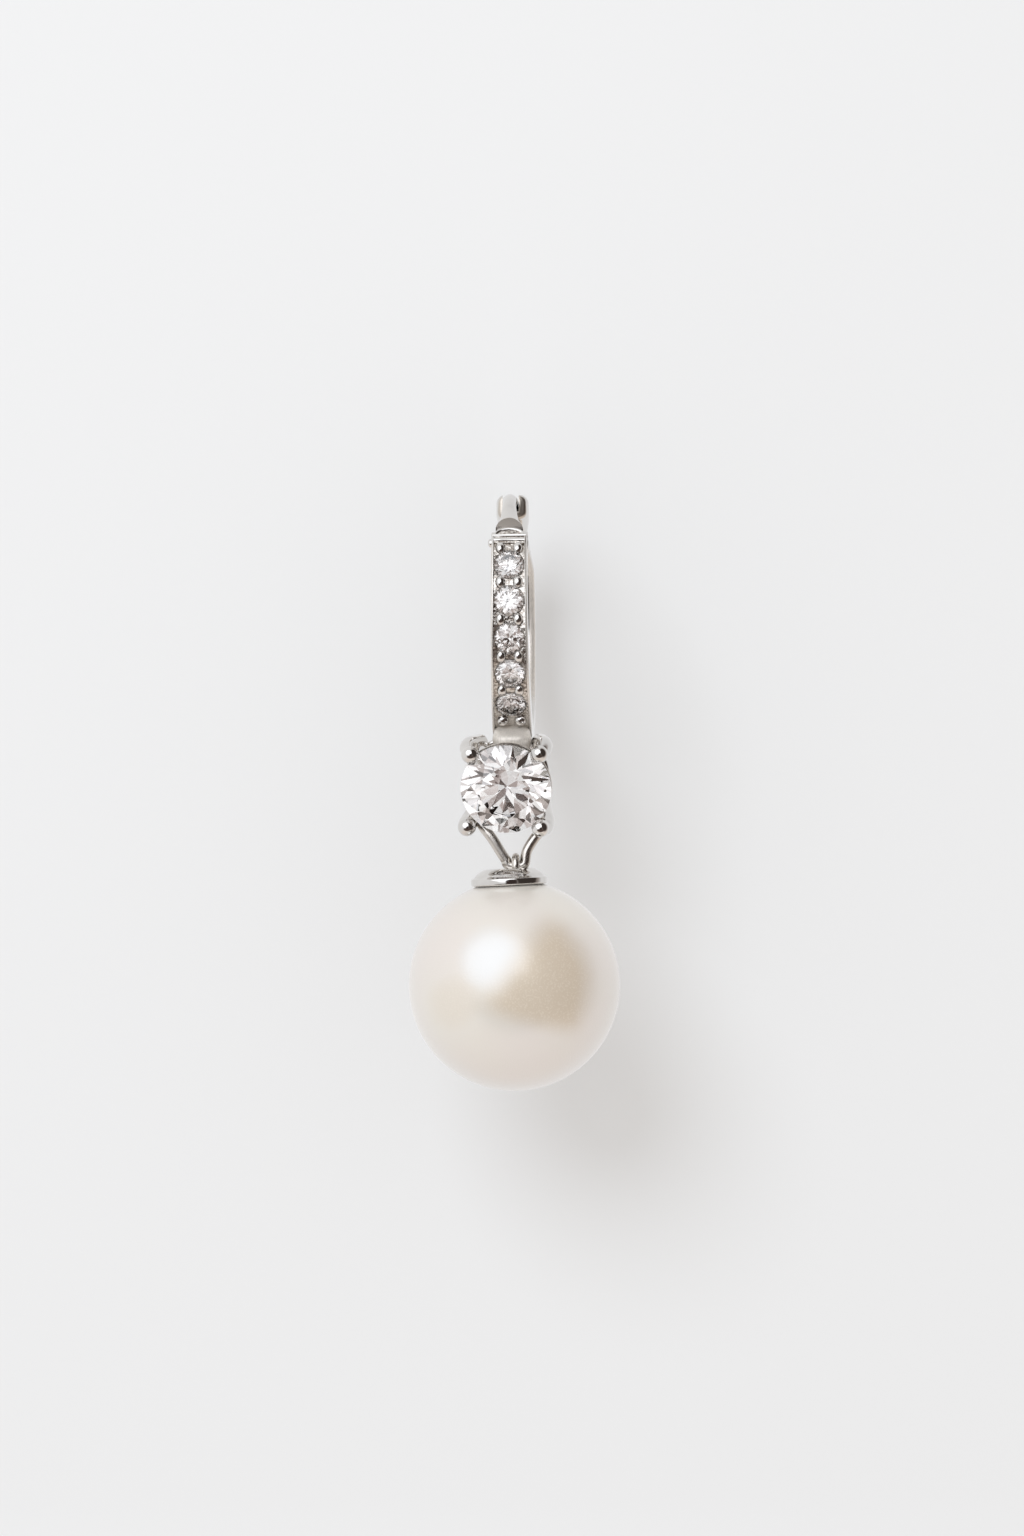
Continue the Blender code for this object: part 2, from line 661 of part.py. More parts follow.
def make_drop(parts, silver, nacre):
    """The pearl with its cap, peg and eye, which swing on the V of wire."""
    joined = new_collection("pearl_cap_joined", True)
    cutters = new_collection("pearl_cutters", True)
    under_r = PEARL_R + CAP_GAP
    peg_top = -PEARL_DROP + math.sqrt(under_r**2 - PEG_R**2)
    rim_low = -PEARL_DROP + math.sqrt(under_r**2 - CAP_R**2)
    shoulder_r = (CAP_CREST_R + CAP_R) / 2
    shoulder = -(CAP_CREST_DROP + CAP_RIM_DROP) / 2
    profile = [
        (0.0, -CAP_FLOOR_DROP),
        (CAP_FLOOR_R, -CAP_FLOOR_DROP),
        (CAP_CREST_R - RIM, -CAP_CREST_DROP - RIM / 2),
        (CAP_CREST_R, -CAP_CREST_DROP),
        (CAP_CREST_R + RIM, -CAP_CREST_DROP - RIM / 2),
        (shoulder_r, shoulder + RIM),
        (CAP_R - RIM, -CAP_RIM_DROP),
        (CAP_R, -CAP_RIM_DROP - RIM),
        (CAP_R, rim_low),
    ]
    for step in range(1, 4):
        radius = CAP_R + (PEG_R - CAP_R) * step / 4
        profile.append((radius, -PEARL_DROP + math.sqrt(under_r**2 - radius**2)))
    profile += [(PEG_R, peg_top), (PEG_R, peg_top - PEG_LENGTH), (0.0, peg_top - PEG_LENGTH)]
    cap = turned("pearl_cap", profile, TURNED_SIDES, Matrix.Translation(SWING_AXIS), parts)
    cap.data.materials.append(silver)
    bpy.ops.mesh.primitive_torus_add(
        major_radius=V_WIRE_R + EYE_GAP + EYE_WIRE_R,
        minor_radius=EYE_WIRE_R,
        major_segments=ROD_SIDES,
        minor_segments=6,
    )
    eye = bpy.context.object
    turn = Matrix.Rotation(math.radians(90), 4, "Y")
    eye.data.transform(Matrix.Translation(SWING_AXIS) @ turn)
    add_object("eye", eye.data, joined)
    bpy.data.objects.remove(eye, do_unlink=True)
    boolean(cap, "UNION", joined)

    centre = SWING_AXIS - Vector((0.0, 0.0, PEARL_DROP))
    pearl = ball("pearl", centre, PEARL_R, PEARL_SIDES, parts)
    pearl.data.materials.append(nacre)
    hole_r = PEG_R + HOLE_GAP
    hole_low = peg_top - PEG_LENGTH - HOLE_GAP
    hole = ((0.0, 0.0), (hole_r, 0.0), (hole_r, hole_low), (0.0, hole_low))
    turned("peg_hole", hole, ROD_SIDES, Matrix.Translation(SWING_AXIS), cutters)
    boolean(pearl, "DIFFERENCE", cutters)
    hang_on_axis([cap, pearl], "drop_axis", SWING_AXIS)


def hang_on_axis(pieces, name, place):
    """Parents the pieces to an empty on their joint's axis and leaves them where they are."""
    axis = bpy.data.objects.new(name, None)
    axis.location = place
    axis.empty_display_size = MM
    bpy.context.scene.collection.objects.link(axis)
    for piece in pieces:
        piece.parent = axis
        piece.matrix_parent_inverse = Matrix.Translation(-place)


def main():
    clear_scene()
    parts = new_collection("pearl_hoop_earring", False)
    silver = metal("polished_silver", (0.78, 0.77, 0.76), 0.12, 1.0)
    clear = metal("clear_stone", (0.95, 0.95, 0.96), 0.02, 0.0, transmission=0.9)
    nacre = metal("pearl_nacre", (0.87, 0.82, 0.76), 0.3, 0.0)
    make_hoop(parts, silver, clear)
    make_ear_wire(parts, silver)
    make_drop(parts, silver, nacre)


main()
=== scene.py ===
"""Pearl hoop earring, dressed for its picture. Metres, +Z up, the earring faces -Y."""

import math

import bmesh
import bpy
from mathutils import Matrix, Vector


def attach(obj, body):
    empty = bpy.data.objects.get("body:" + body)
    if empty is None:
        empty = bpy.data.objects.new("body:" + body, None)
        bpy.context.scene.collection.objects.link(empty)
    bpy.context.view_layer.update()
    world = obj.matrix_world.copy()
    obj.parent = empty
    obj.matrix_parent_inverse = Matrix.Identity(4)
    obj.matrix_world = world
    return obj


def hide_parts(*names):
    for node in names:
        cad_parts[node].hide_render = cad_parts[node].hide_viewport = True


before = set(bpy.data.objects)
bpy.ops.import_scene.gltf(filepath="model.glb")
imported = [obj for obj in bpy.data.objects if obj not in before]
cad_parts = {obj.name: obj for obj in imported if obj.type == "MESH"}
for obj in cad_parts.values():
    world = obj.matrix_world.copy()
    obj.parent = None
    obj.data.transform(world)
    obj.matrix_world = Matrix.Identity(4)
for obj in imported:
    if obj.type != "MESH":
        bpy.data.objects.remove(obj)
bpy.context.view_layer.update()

# ---- Studio: a white sweep close behind the earring, a softbox up to its left, a white tent ----
# The sweep's wall stands just behind the hoop and curves round its sides, and soft shadows fall on
# it to the right and below. The room in front is dark and warm: silver shows it as its darks.
MM = 0.001
WALL_Y = 8.4 * MM
FLOOR_Z = -62.0 * MM
SWEEP_R = 14.0 * MM
SWEEP_WIDTH = 0.8
SWEEP_CORNER_R = 0.3
SWEEP_MIDDLE = 0.06
SWEEP_TOP = 0.35
SWEEP_FRONT = -0.6
SWEEP_STEPS = 12
PHOTO_SIZE = (1024, 1536)
PIXELS_PER_MM = 21.1
CAMERA_DISTANCE = 0.45
CAMERA_AZIMUTH = math.radians(1.7)
CAMERA_ROLL = math.radians(-0.54)
CAMERA_TARGET = Vector((-0.017, -3.0, -12.37)) * MM
KEY_DIRECTION = Vector((-0.37, -1.0, 0.53)).normalized()
KEY_DISTANCE = 0.35
KEY_SIZE = 0.2
KEY_POWER = 0.41
KEY_COLOUR = (0.92, 1.0, 1.08)
PLAIN_WHITE = (0.92, 0.9, 0.885)
SEEN_WHITE = (0.86, 0.86, 0.86)
PAPER_WHITE = (0.75, 0.75, 0.75)


class Field:
    """A value that varies over a surface. Arithmetic on it adds Math nodes."""

    def __init__(self, graph, socket):
        self.graph = graph
        self.socket = socket

    def __add__(self, other):
        return self.graph.math("ADD", self, other)

    def __radd__(self, other):
        return self.graph.math("ADD", other, self)

    def __sub__(self, other):
        return self.graph.math("SUBTRACT", self, other)

    def __rsub__(self, other):
        return self.graph.math("SUBTRACT", other, self)

    def __mul__(self, other):
        return self.graph.math("MULTIPLY", self, other)

    def __rmul__(self, other):
        return self.graph.math("MULTIPLY", other, self)

    def __abs__(self):
        return self.graph.math("ABSOLUTE", self, 0.0)


class Graph:
    """The nodes of a material or of the world."""

    def __init__(self, tree):
        self.tree = tree

    def node(self, kind, settings=(), sockets=(), output=0):
        """Adds a node: its settings first, a ramp's stops among them, then its sockets."""
        made = self.tree.nodes.new(kind)
        for name, value in dict(settings).items():
            if name == "stops":
                while len(made.color_ramp.elements) < len(value):
                    made.color_ramp.elements.new(1.0)
                for element, (place, colour) in zip(made.color_ramp.elements, value):
                    element.position = place
                    element.color = (*colour, 1.0)
            else:
                setattr(made, name, value)
        for name, value in dict(sockets).items():
            self.feed(made.inputs[name], value)
        return Field(self, made.outputs[output])

    def feed(self, socket, value):
        """Links a field to a socket, or sets the socket's own value."""
        if isinstance(value, Field):
            self.tree.links.new(value.socket, socket)
        else:
            socket.default_value = value

    def math(self, operation, first, second):
        return self.node("ShaderNodeMath", {"operation": operation}, {0: first, 1: second})

    def dot(self, first, second):
        ends = {0: first, 1: second}
        return self.node("ShaderNodeVectorMath", {"operation": "DOT_PRODUCT"}, ends, output=1)

    def mix(self, share, first, second):
        """A colour between two colours."""
        ends = {0: share, 6: first, 7: second}
        return self.node("ShaderNodeMix", {"data_type": "RGBA"}, ends, output=2)

    def step(self, value, low, high):
        """0 below low, 1 above high and smooth between them."""
        span = {"Value": value, "From Min": low, "From Max": high}
        return self.node("ShaderNodeMapRange", {"interpolation_type": "SMOOTHSTEP"}, span)

    def noise(self, place, scale, detail=2.0):
        sockets = {"Vector": place, "Scale": scale, "Detail": detail}
        return self.node("ShaderNodeTexNoise", {}, sockets)


def rgb(red, green, blue):
    return (red, green, blue, 1.0)


def new_material(name):
    """A material, its nodes and its Principled shader."""
    material = bpy.data.materials.new(name)
    material.use_nodes = True
    return material, Graph(material.node_tree), material.node_tree.nodes["Principled BSDF"]


scene = bpy.context.scene
scene.view_settings.view_transform = "Standard"

camera = bpy.data.objects.new("camera", bpy.data.cameras.new("camera"))
scene.collection.objects.link(camera)
scene.camera = camera
frame_height = PHOTO_SIZE[1] / PIXELS_PER_MM * MM
camera.data.sensor_width = 36.0
camera.data.lens = camera.data.sensor_width * CAMERA_DISTANCE / frame_height
camera.data.clip_start = 0.01
camera.data.clip_end = 5.0
away = Vector((math.sin(CAMERA_AZIMUTH), -math.cos(CAMERA_AZIMUTH), 0.0))
camera.location = CAMERA_TARGET + away * CAMERA_DISTANCE
level = Matrix.Rotation(CAMERA_AZIMUTH, 4, "Z") @ Matrix.Rotation(math.radians(90), 4, "X")
camera.rotation_euler = (level @ Matrix.Rotation(CAMERA_ROLL, 4, "Z")).to_euler()

# The sweep's plan from its right front end round the back to its left front end, each point with
# the way into the room, and its upright profile: how far in from the wall, and how high. The wall's
# middle is a narrow stretch of its own, right behind the earring.
plan = [((SWEEP_WIDTH / 2, SWEEP_FRONT), (-1.0, 0.0))]
for start, side in ((0, 1), (90, -1)):
    centre_x = side * (SWEEP_WIDTH / 2 - SWEEP_CORNER_R)
    if side < 0:
        plan += [((x, WALL_Y), (0.0, -1.0)) for x in (SWEEP_MIDDLE, -SWEEP_MIDDLE)]
    for step in range(SWEEP_STEPS + 1):
        turn = math.radians(start + 90 * step / SWEEP_STEPS)
        out = (math.cos(turn), math.sin(turn))
        corner_y = WALL_Y - SWEEP_CORNER_R * (1 - out[1])
        plan.append(((centre_x + SWEEP_CORNER_R * out[0], corner_y), (-out[0], -out[1])))
plan.append(((-SWEEP_WIDTH / 2, SWEEP_FRONT), (1.0, 0.0)))
profile = [(0.0, SWEEP_TOP)]
for step in range(SWEEP_STEPS + 1):
    turn = math.pi / 2 * step / SWEEP_STEPS
    profile.append((SWEEP_R * (1 - math.cos(turn)), FLOOR_Z + SWEEP_R * (1 - math.sin(turn))))
bm = bmesh.new()
rows = [
    [bm.verts.new((x + inward[0] * inset, y + inward[1] * inset, z)) for (x, y), inward in plan]
    for inset, z in profile
]
for upper, lower in zip(rows, rows[1:]):
    for i in range(len(plan) - 1):
        bm.faces.new((upper[i + 1], lower[i + 1], lower[i], upper[i]))
bm.faces.new(rows[-1])
mesh = bpy.data.meshes.new("backdrop")
bm.to_mesh(mesh)
bm.free()
mesh.shade_smooth()
backdrop = bpy.data.objects.new("backdrop", mesh)
scene.collection.objects.link(backdrop)
paper, graph, matte = new_material("white_paper")
output = paper.node_tree.nodes["Material Output"]
matte.inputs["Base Color"].default_value = rgb(*PAPER_WHITE)
matte.inputs["Roughness"].default_value = 0.9
matte.inputs["Specular IOR Level"].default_value = 0.1
open_back = graph.node("ShaderNodeBsdfTransparent")
behind = graph.node("ShaderNodeNewGeometry", output=6)
one_sided = graph.node(
    "ShaderNodeMixShader", {}, {0: behind, 1: Field(graph, matte.outputs[0]), 2: open_back}
)
graph.feed(output.inputs["Surface"], one_sided)
mesh.materials.append(paper)
backdrop.visible_diffuse = False
backdrop.visible_glossy = False
backdrop.visible_transmission = False
backdrop.visible_shadow = False

key = bpy.data.lights.new("softbox", "AREA")
key.shape = "DISK"
key.size = KEY_SIZE
key.energy = KEY_POWER
key.color = KEY_COLOUR
softbox = bpy.data.objects.new("softbox", key)
scene.collection.objects.link(softbox)
softbox.location = CAMERA_TARGET + KEY_DIRECTION * KEY_DISTANCE
softbox.rotation_euler = KEY_DIRECTION.to_track_quat("Z", "Y").to_euler()
softbox.visible_camera = False
softbox.visible_glossy = False
softbox.visible_transmission = False

# What the polished pieces mirror: azimuth from the camera, to the right, and elevation of each
# round patch, its half width and half height, all in degrees, how soft it is, and its colour.
TENT_PATCHES = (
    ((0, -85, 89, 42), 0.25, (0.86, 0.78, 0.72)),
    ((-95, 20, 60, 55), 0.30, (0.84, 0.84, 0.84)),
    ((62, 16, 44, 54), 0.20, (0.30, 0.26, 0.24)),
    ((58, 18, 34, 47), 0.10, (0.05, 0.04, 0.035)),
    ((4, -30, 44, 20), 0.12, (0.09, 0.065, 0.055)),
    ((-20, 28, 35, 31), 0.10, (1.88, 1.92, 2.0)),
    ((8, -4, 17, 17), 0.15, (0.05, 0.036, 0.032)),
)
TENT_WHITE = (0.80, 0.80, 0.805)

# What the stones send back from the room behind the tent's opening, in flashes.
FLASH_STOPS = (
    (0.41, (0.06, 0.045, 0.04)),
    (0.46, (0.42, 0.35, 0.33)),
    (0.52, (0.80, 0.74, 0.72)),
    (0.58, (1.0, 1.0, 1.0)),
)
FLASH_SHARE = 0.6
FLASH_WHITE = 1.5


def tent_patch(graph, direction, sizes, soft):
    """1 inside a round patch of the tent and 0 outside it."""
    turn, lift, half_width, half_height = (math.radians(size) for size in sizes)
    level = math.cos(lift)
    ahead = Vector((math.sin(turn) * level, -math.cos(turn) * level, math.sin(lift)))
    side = Vector((math.cos(turn), math.sin(turn), 0.0))
    across = graph.dot(direction, side / math.sin(half_width))
    upright = graph.dot(direction, ahead.cross(side) / math.sin(half_height))
    off = across * across + upright * upright
    inside = 1 - graph.step(off, (1 - soft) ** 2, (1 + soft) ** 2)
    return inside * graph.step(graph.dot(direction, ahead), 0.0, 0.1)


world = bpy.data.worlds.new("tent")
scene.world = world
world.use_nodes = True
world.cycles.sampling_method = "NONE"
graph = Graph(world.node_tree)
direction = graph.node("ShaderNodeTexCoord")
tent = rgb(*TENT_WHITE)
for sizes, soft, colour in TENT_PATCHES:
    tent = graph.mix(tent_patch(graph, direction, sizes, soft), tent, rgb(*colour))
seen = graph.node("ShaderNodeLightPath")
through = graph.node("ShaderNodeLightPath", output="Is Transmission Ray")
spots = graph.noise(direction, 3.4)
flash = graph.node("ShaderNodeValToRGB", {"stops": FLASH_STOPS}, {"Fac": spots})
flash = graph.node("ShaderNodeVectorMath", {"operation": "SCALE"}, {0: flash, "Scale": FLASH_WHITE})
tent = graph.mix(FLASH_SHARE * through, tent, flash)
matte_ray = graph.node("ShaderNodeLightPath", output="Is Diffuse Ray")
tent = graph.mix(matte_ray, tent, rgb(*PLAIN_WHITE))
tent = graph.mix(seen, tent, rgb(*SEEN_WHITE))
graph.feed(world.node_tree.nodes["Background"].inputs["Color"], tent)


# ---- Hoop: the cast silver band, from the hinge round the front, foot and back to its catch ----
# One casting, rhodium plated and polished. Its front is a channel between two thin rims, with a
# conical seat drilled for each stone, and its top end at the back is milled into a fork.
HOOP_CENTRE_Z = -5.27 * MM
HOOP_R = 6.05 * MM
HOOP_DEPTH = 1.6 * MM
HOOP_WIDTH = 1.86 * MM
EDGE_R = 0.11 * MM
BACK_EDGE_R = 0.22 * MM
CATCH_EDGE_R = 0.36 * MM
BACK_DEG = -66.0
CATCH_DEG = -228.0
BACK_BLEND_DEG = 12.0
EDGE_STEPS = 4
RIM = 0.1 * MM
CHANNEL_DEPTH = 0.15 * MM
GROOVE_DEPTH = 0.08 * MM
CHANNELS = ((37.3, -65.0, CHANNEL_DEPTH), (39.8, 38.7, GROOVE_DEPTH))
CHANNEL_END_DEG = 0.3
CHANNEL_LEAN = RIM / 4
BAND_STEP_DEG = 1.0
BAND_LEAST_DEG = 0.3
TIP_STEP_DEG = 0.2
TIP_STEPS = 16
BAR_END_DEG = 40.0
BAR_END_STEP_DEG = 0.1
BAR_FLAT_DEG = 6.0
SHARP_DEG = 35.0
SOFTENED_DEG = 40.0
BAND_SOFTENING = 0.022 * MM

# Degrees, then outer and inner drop as shares of the depth, and the width as a share.
HOOP_SECTIONS = (
    (46.0, 0.36, 0.96, 0.90),
    (40.4, 0.36, 0.98, 0.90),
    (40.0, 0.00, 1.00, 0.90),
    (-25.0, 0.00, 0.95, 0.96),
    (-63.0, 0.00, 0.80, 1.00),
    (-90.0, 0.00, 0.66, 1.00),
    (-150.0, 0.00, 0.62, 1.00),
    (-204.0, 0.00, 0.62, 0.98),
    (-216.0, 0.00, 0.66, 0.80),
    (-228.0, 0.02, 0.74, 0.62),
    (-233.0, 0.02, 0.78, 0.64),
    (-239.0, 0.00, 0.80, 0.74),
    (-245.0, 0.00, 0.80, 0.80),
    (-252.0, 0.00, 0.79, 0.83),
    (-257.0, 0.00, 0.78, 0.83),
    (-260.0, 0.01, 0.77, 0.80),
    (-261.8, 0.02, 0.76, 0.76),
    (-263.0, 0.05, 0.74, 0.69),
    (-263.7, 0.09, 0.71, 0.60),
    (-264.1, 0.15, 0.66, 0.46),
)

FIRST_STONE_DEG = 25.0
STONE_STEP_DEG = 17.3
STONE_DEGREES = [FIRST_STONE_DEG - STONE_STEP_DEG * i for i in range(5)]
STONE_D = 1.48 * MM
SEAT_GAP = 0.03 * MM
SEAT_TIP_R = 0.02 * MM
PAVILION_SHARE = 0.45


def hoop_point(radius, degrees, side=0.0):
    """The point of the hoop at this radius and angle, and this far to the side."""
    turn = math.radians(degrees)
    return Vector((side, -radius * math.cos(turn), HOOP_CENTRE_Z + radius * math.sin(turn)))


def hoop_axes(radius, degrees):
    """Axes at a point of the hoop: X to the side, Y on along the hoop and Z outward."""
    turn = math.radians(degrees)
    outward = Vector((0.0, -math.cos(turn), math.sin(turn)))
    along = Vector((0.0, math.sin(turn), math.cos(turn)))
    axes = Matrix((Vector((1.0, 0.0, 0.0)), along, outward)).transposed().to_4x4()
    return Matrix.Translation(hoop_point(radius, degrees)) @ axes


def read_table(table, place):
    """The columns of a table at this place, on a smooth curve that doesn't overshoot."""
    rows = sorted(table)
    places = [row[0] for row in rows]
    place = min(max(place, places[0]), places[-1])
    last = next(i for i in range(1, len(rows)) if place <= places[i])
    first = last - 1
    span = places[last] - places[first]
    share = (place - places[first]) / span

    def slope(i, column):
        if i == 0 or i == len(rows) - 1:
            return 0.0
        before = (rows[i][column] - rows[i - 1][column]) / (places[i] - places[i - 1])
        after = (rows[i + 1][column] - rows[i][column]) / (places[i + 1] - places[i])
        return 0.0 if before * after <= 0 else 2 * before * after / (before + after)

    values = []
    for column in range(1, len(rows[0])):
        a, b = rows[first][column], rows[last][column]
        t2, t3 = share**2, share**3
        values.append(
            a * (2 * t3 - 3 * t2 + 1)
            + b * (3 * t2 - 2 * t3)
            + slope(first, column) * span * (t3 - 2 * t2 + share)
            + slope(last, column) * span * (t3 - t2)
        )
    return values


def loft(rings, closed=False):
    """A bmesh through rings of equally many points, with caps unless it closes on itself."""
    bm = bmesh.new()
    loops = [[bm.verts.new(point) for point in ring] for ring in rings]
    pairs = list(zip(loops, loops[1:]))
    if closed:
        pairs.append((loops[-1], loops[0]))
    for low, high in pairs:
        for i, corner in enumerate(low):
            j = (i + 1) % len(low)
            bm.faces.new((corner, low[j], high[j], high[i]))
    if not closed:
        bm.faces.new(list(reversed(loops[0])))
        bm.faces.new(loops[-1])
    return bm


def close_up(bm):
    """Turns a closed bmesh's faces outward."""
    bmesh.ops.recalc_face_normals(bm, faces=bm.faces)
    if bm.calc_volume(signed=True) < 0:
        bmesh.ops.reverse_faces(bm, faces=bm.faces)
    return bm


def new_object(name, bm, sharp_deg=SHARP_DEG):
    """An object of this bmesh, smooth where its faces meet at less than the angle."""
    mesh = bpy.data.meshes.new(name)
    bm.to_mesh(mesh)
    bm.free()
    mesh.shade_smooth()
    mesh.set_sharp_from_angle(angle=math.radians(sharp_deg))
    made = bpy.data.objects.new(name, mesh)
    scene.collection.objects.link(made)
    return made


def dress(made, material, slot, body, *nodes):
    """Gives a piece its material, lets it ride on its body and stand for CAD nodes. Its slot is not
    used.
    """
    made.data.materials.append(material)
    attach(made, body)
    if nodes:
        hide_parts(*nodes)
    return made


def apply_modifiers(made):
    """Bakes the object's modifiers into its mesh."""
    evaluated = made.evaluated_get(bpy.context.evaluated_depsgraph_get())
    done = bpy.data.meshes.new_from_object(evaluated)
    made.modifiers.clear()
    made.data = done
    done.shade_smooth()
    done.set_sharp_from_angle(angle=math.radians(SHARP_DEG))


def cut(made, cutters):
    """Cuts the cutters from the object and removes them."""
    for cutter in cutters:
        modifier = made.modifiers.new("cut", "BOOLEAN")
        modifier.operation = "DIFFERENCE"
        modifier.solver = "EXACT"
        modifier.object = cutter
    apply_modifiers(made)
    for cutter in cutters:
        bpy.data.objects.remove(cutter, do_unlink=True)


def soften(made, width, steps=2):
    """Rounds the object's sharp edges a little, as polishing does."""
    modifier = made.modifiers.new("soften", "BEVEL")
    modifier.width = width
    modifier.segments = steps
    modifier.limit_method = "ANGLE"
    modifier.angle_limit = math.radians(SOFTENED_DEG)
    modifier.miter_outer = "MITER_ARC"
    modifier.harden_normals = True
    apply_modifiers(made)


def arc_corner(side, height, radius, start_deg):
    """Points of a round corner about a centre, through a quarter turn."""
    points = []
    for step in range(EDGE_STEPS + 1):
        turn = math.radians(start_deg + 90 * step / EDGE_STEPS)
        points.append((side + radius * math.cos(turn), height + radius * math.sin(turn)))
    return points


def band_section(half_width, low, high, channel, round_back):
    """(side, height) round the band: rounded edges, two rims, and a channel this deep.

    No edge is rounder than the section has room for, and none of the points meet."""
    most = min(half_width / 2, (high - low) / 2.2)
    edge = min(max(EDGE_R, round_back), most)
    small = min(max(RIM * 0.9, round_back), most)
    right = arc_corner(half_width - edge, low + edge, edge, -90)
    right += arc_corner(half_width - small, high - small, small, 0)
    inner = min(half_width - RIM, half_width - small)
    right += [
        (inner * 0.999, high),
        (inner - CHANNEL_LEAN / 4, high - channel / 8),
        (inner - CHANNEL_LEAN, high - channel),
        (inner * 0.5, high - channel),
    ]
    return right + [(-side, height) for side, height in reversed(right)]


# The band has a section at every stop, where its shape changes at once, and finer ones at its tip.
rings = []
stops = [BAR_END_DEG, BAR_END_DEG + BAR_END_STEP_DEG]
for top, foot, _depth in CHANNELS:
    stops += [top, top - CHANNEL_END_DEG, foot + CHANNEL_END_DEG, foot]
steps = round((HOOP_SECTIONS[0][0] - HOOP_SECTIONS[-1][0]) / BAND_STEP_DEG)
angles = [HOOP_SECTIONS[0][0] - BAND_STEP_DEG * i for i in range(steps + 1)]
angles = [a for a in angles if all(abs(a - stop) > BAND_LEAST_DEG for stop in stops)] + stops
angles += [HOOP_SECTIONS[-1][0] + TIP_STEP_DEG * i for i in range(TIP_STEPS)]
for degrees in sorted(angles, reverse=True):
    outer, inner, width = read_table(HOOP_SECTIONS, degrees)
    if degrees > BAR_END_DEG:
        outer, inner, width = HOOP_SECTIONS[0][1:]
    elif degrees > BAR_END_DEG - BAR_FLAT_DEG:
        outer = 0.0
    deep = 0.0
    for top, foot, depth in CHANNELS:
        inside = min(top - degrees, degrees - foot) / CHANNEL_END_DEG
        deep += depth * min(1.0, max(0.0, inside))
    low = HOOP_R - HOOP_DEPTH * inner
    high = HOOP_R - HOOP_DEPTH * outer
    at_back, at_catch = (
        min(1.0, max(0.0, (start - degrees) / BACK_BLEND_DEG)) for start in (BACK_DEG, CATCH_DEG)
    )
    back = BACK_EDGE_R * at_back + (CATCH_EDGE_R - BACK_EDGE_R) * at_catch
    section = band_section(HOOP_WIDTH * width / 2, low, high, deep, back)
    rings.append([hoop_point(radius, degrees, side) for side, radius in section])
band = new_object("hoop_band", close_up(loft(rings)))

cutters = []
floor_r = HOOP_R - CHANNEL_DEPTH
for degrees in STONE_DEGREES:
    bm = bmesh.new()
    radius = STONE_D / 2 + SEAT_GAP
    deep = STONE_D * PAVILION_SHARE + SEAT_GAP
    bmesh.ops.create_cone(
        bm, cap_ends=True, segments=48, radius1=SEAT_TIP_R, radius2=radius, depth=deep
    )
    sunk = Matrix.Translation((0.0, 0.0, SEAT_TIP_R - deep / 2))
    bm.transform(hoop_axes(floor_r, degrees) @ sunk)
    cutters.append(new_object("seat", close_up(bm)))

# The fork's slot, which takes the ear wire's tip.
SLOT_HALF = 0.385 * MM
WIRE_SIDE = -0.07 * MM
SLOT_FLOOR_R = 5.2 * MM
SLOT_TOP_R = HOOP_R * 1.2
SLOT_START_DEG = 88.0
SLOT_END_DEG = 122.5
SLOT_STEPS = 16
rings = []
for step in range(SLOT_STEPS + 1):
    degrees = SLOT_START_DEG + (SLOT_END_DEG - SLOT_START_DEG) * step / SLOT_STEPS
    rings.append(
        [
            hoop_point(radius, degrees, WIRE_SIDE + side)
            for side, radius in (
                (-SLOT_HALF, SLOT_FLOOR_R),
                (SLOT_HALF, SLOT_FLOOR_R),
                (SLOT_HALF, SLOT_TOP_R),
                (-SLOT_HALF, SLOT_TOP_R),
            )
        ]
    )
cutters.append(new_object("slot", close_up(loft(rings))))

# The hinge's slot, which takes the ear wire's knuckle.
PIN_ORBIT = 5.0 * MM
PIN_DEG = 45.2
TAB_THICKNESS = 0.27 * MM
KNUCKLE_R = 0.45 * MM
KNUCKLE_WIDTH = 0.9 * MM
HINGE_GAP = 0.06 * MM


def hinge_slot():
    """The space round the knuckle, as a cutter."""
    top = HOOP_R - TAB_THICKNESS - PIN_ORBIT
    below = KNUCKLE_R + HINGE_GAP
    size = (KNUCKLE_WIDTH + 2 * HINGE_GAP, HOOP_DEPTH + below, top + HOOP_DEPTH)
    shift = Matrix.Translation((0.0, (HOOP_DEPTH - below) / 2, (top - HOOP_DEPTH) / 2))
    bm = bmesh.new()
    bmesh.ops.create_cube(bm, size=1.0)
    bm.transform(hoop_axes(PIN_ORBIT, PIN_DEG) @ shift @ Matrix.Diagonal((*size, 1.0)))
    return new_object("hinge_slot", close_up(bm))


cutters.append(hinge_slot())
cut(band, cutters)
soften(band, BAND_SOFTENING)

# The metal's colours, how rough each finish leaves it, and how much of its gleam grinding takes.
SILVER = (0.80, 0.78, 0.758)
WORKED_SILVER = (0.78, 0.745, 0.70)
# In the band's channel and seats the worked tints are painted shade of the recess.
WORKED_DARK_AND_SHADE = (0.40, 0.355, 0.315)
# On the ear wire's chin this filed tint is also a painted reflection of the dark room.
FILED_SILVER = (0.62, 0.57, 0.51)
GROUND_SILVER = (0.76, 0.71, 0.65)
POLISHED_ROUGH = 0.045
HAZY_ROUGH = 0.06
WORKED_ROUGH = 0.2
FILED_ROUGH = 0.3
GROUND_ROUGH = 0.35
GROUND_MATT = 0.65


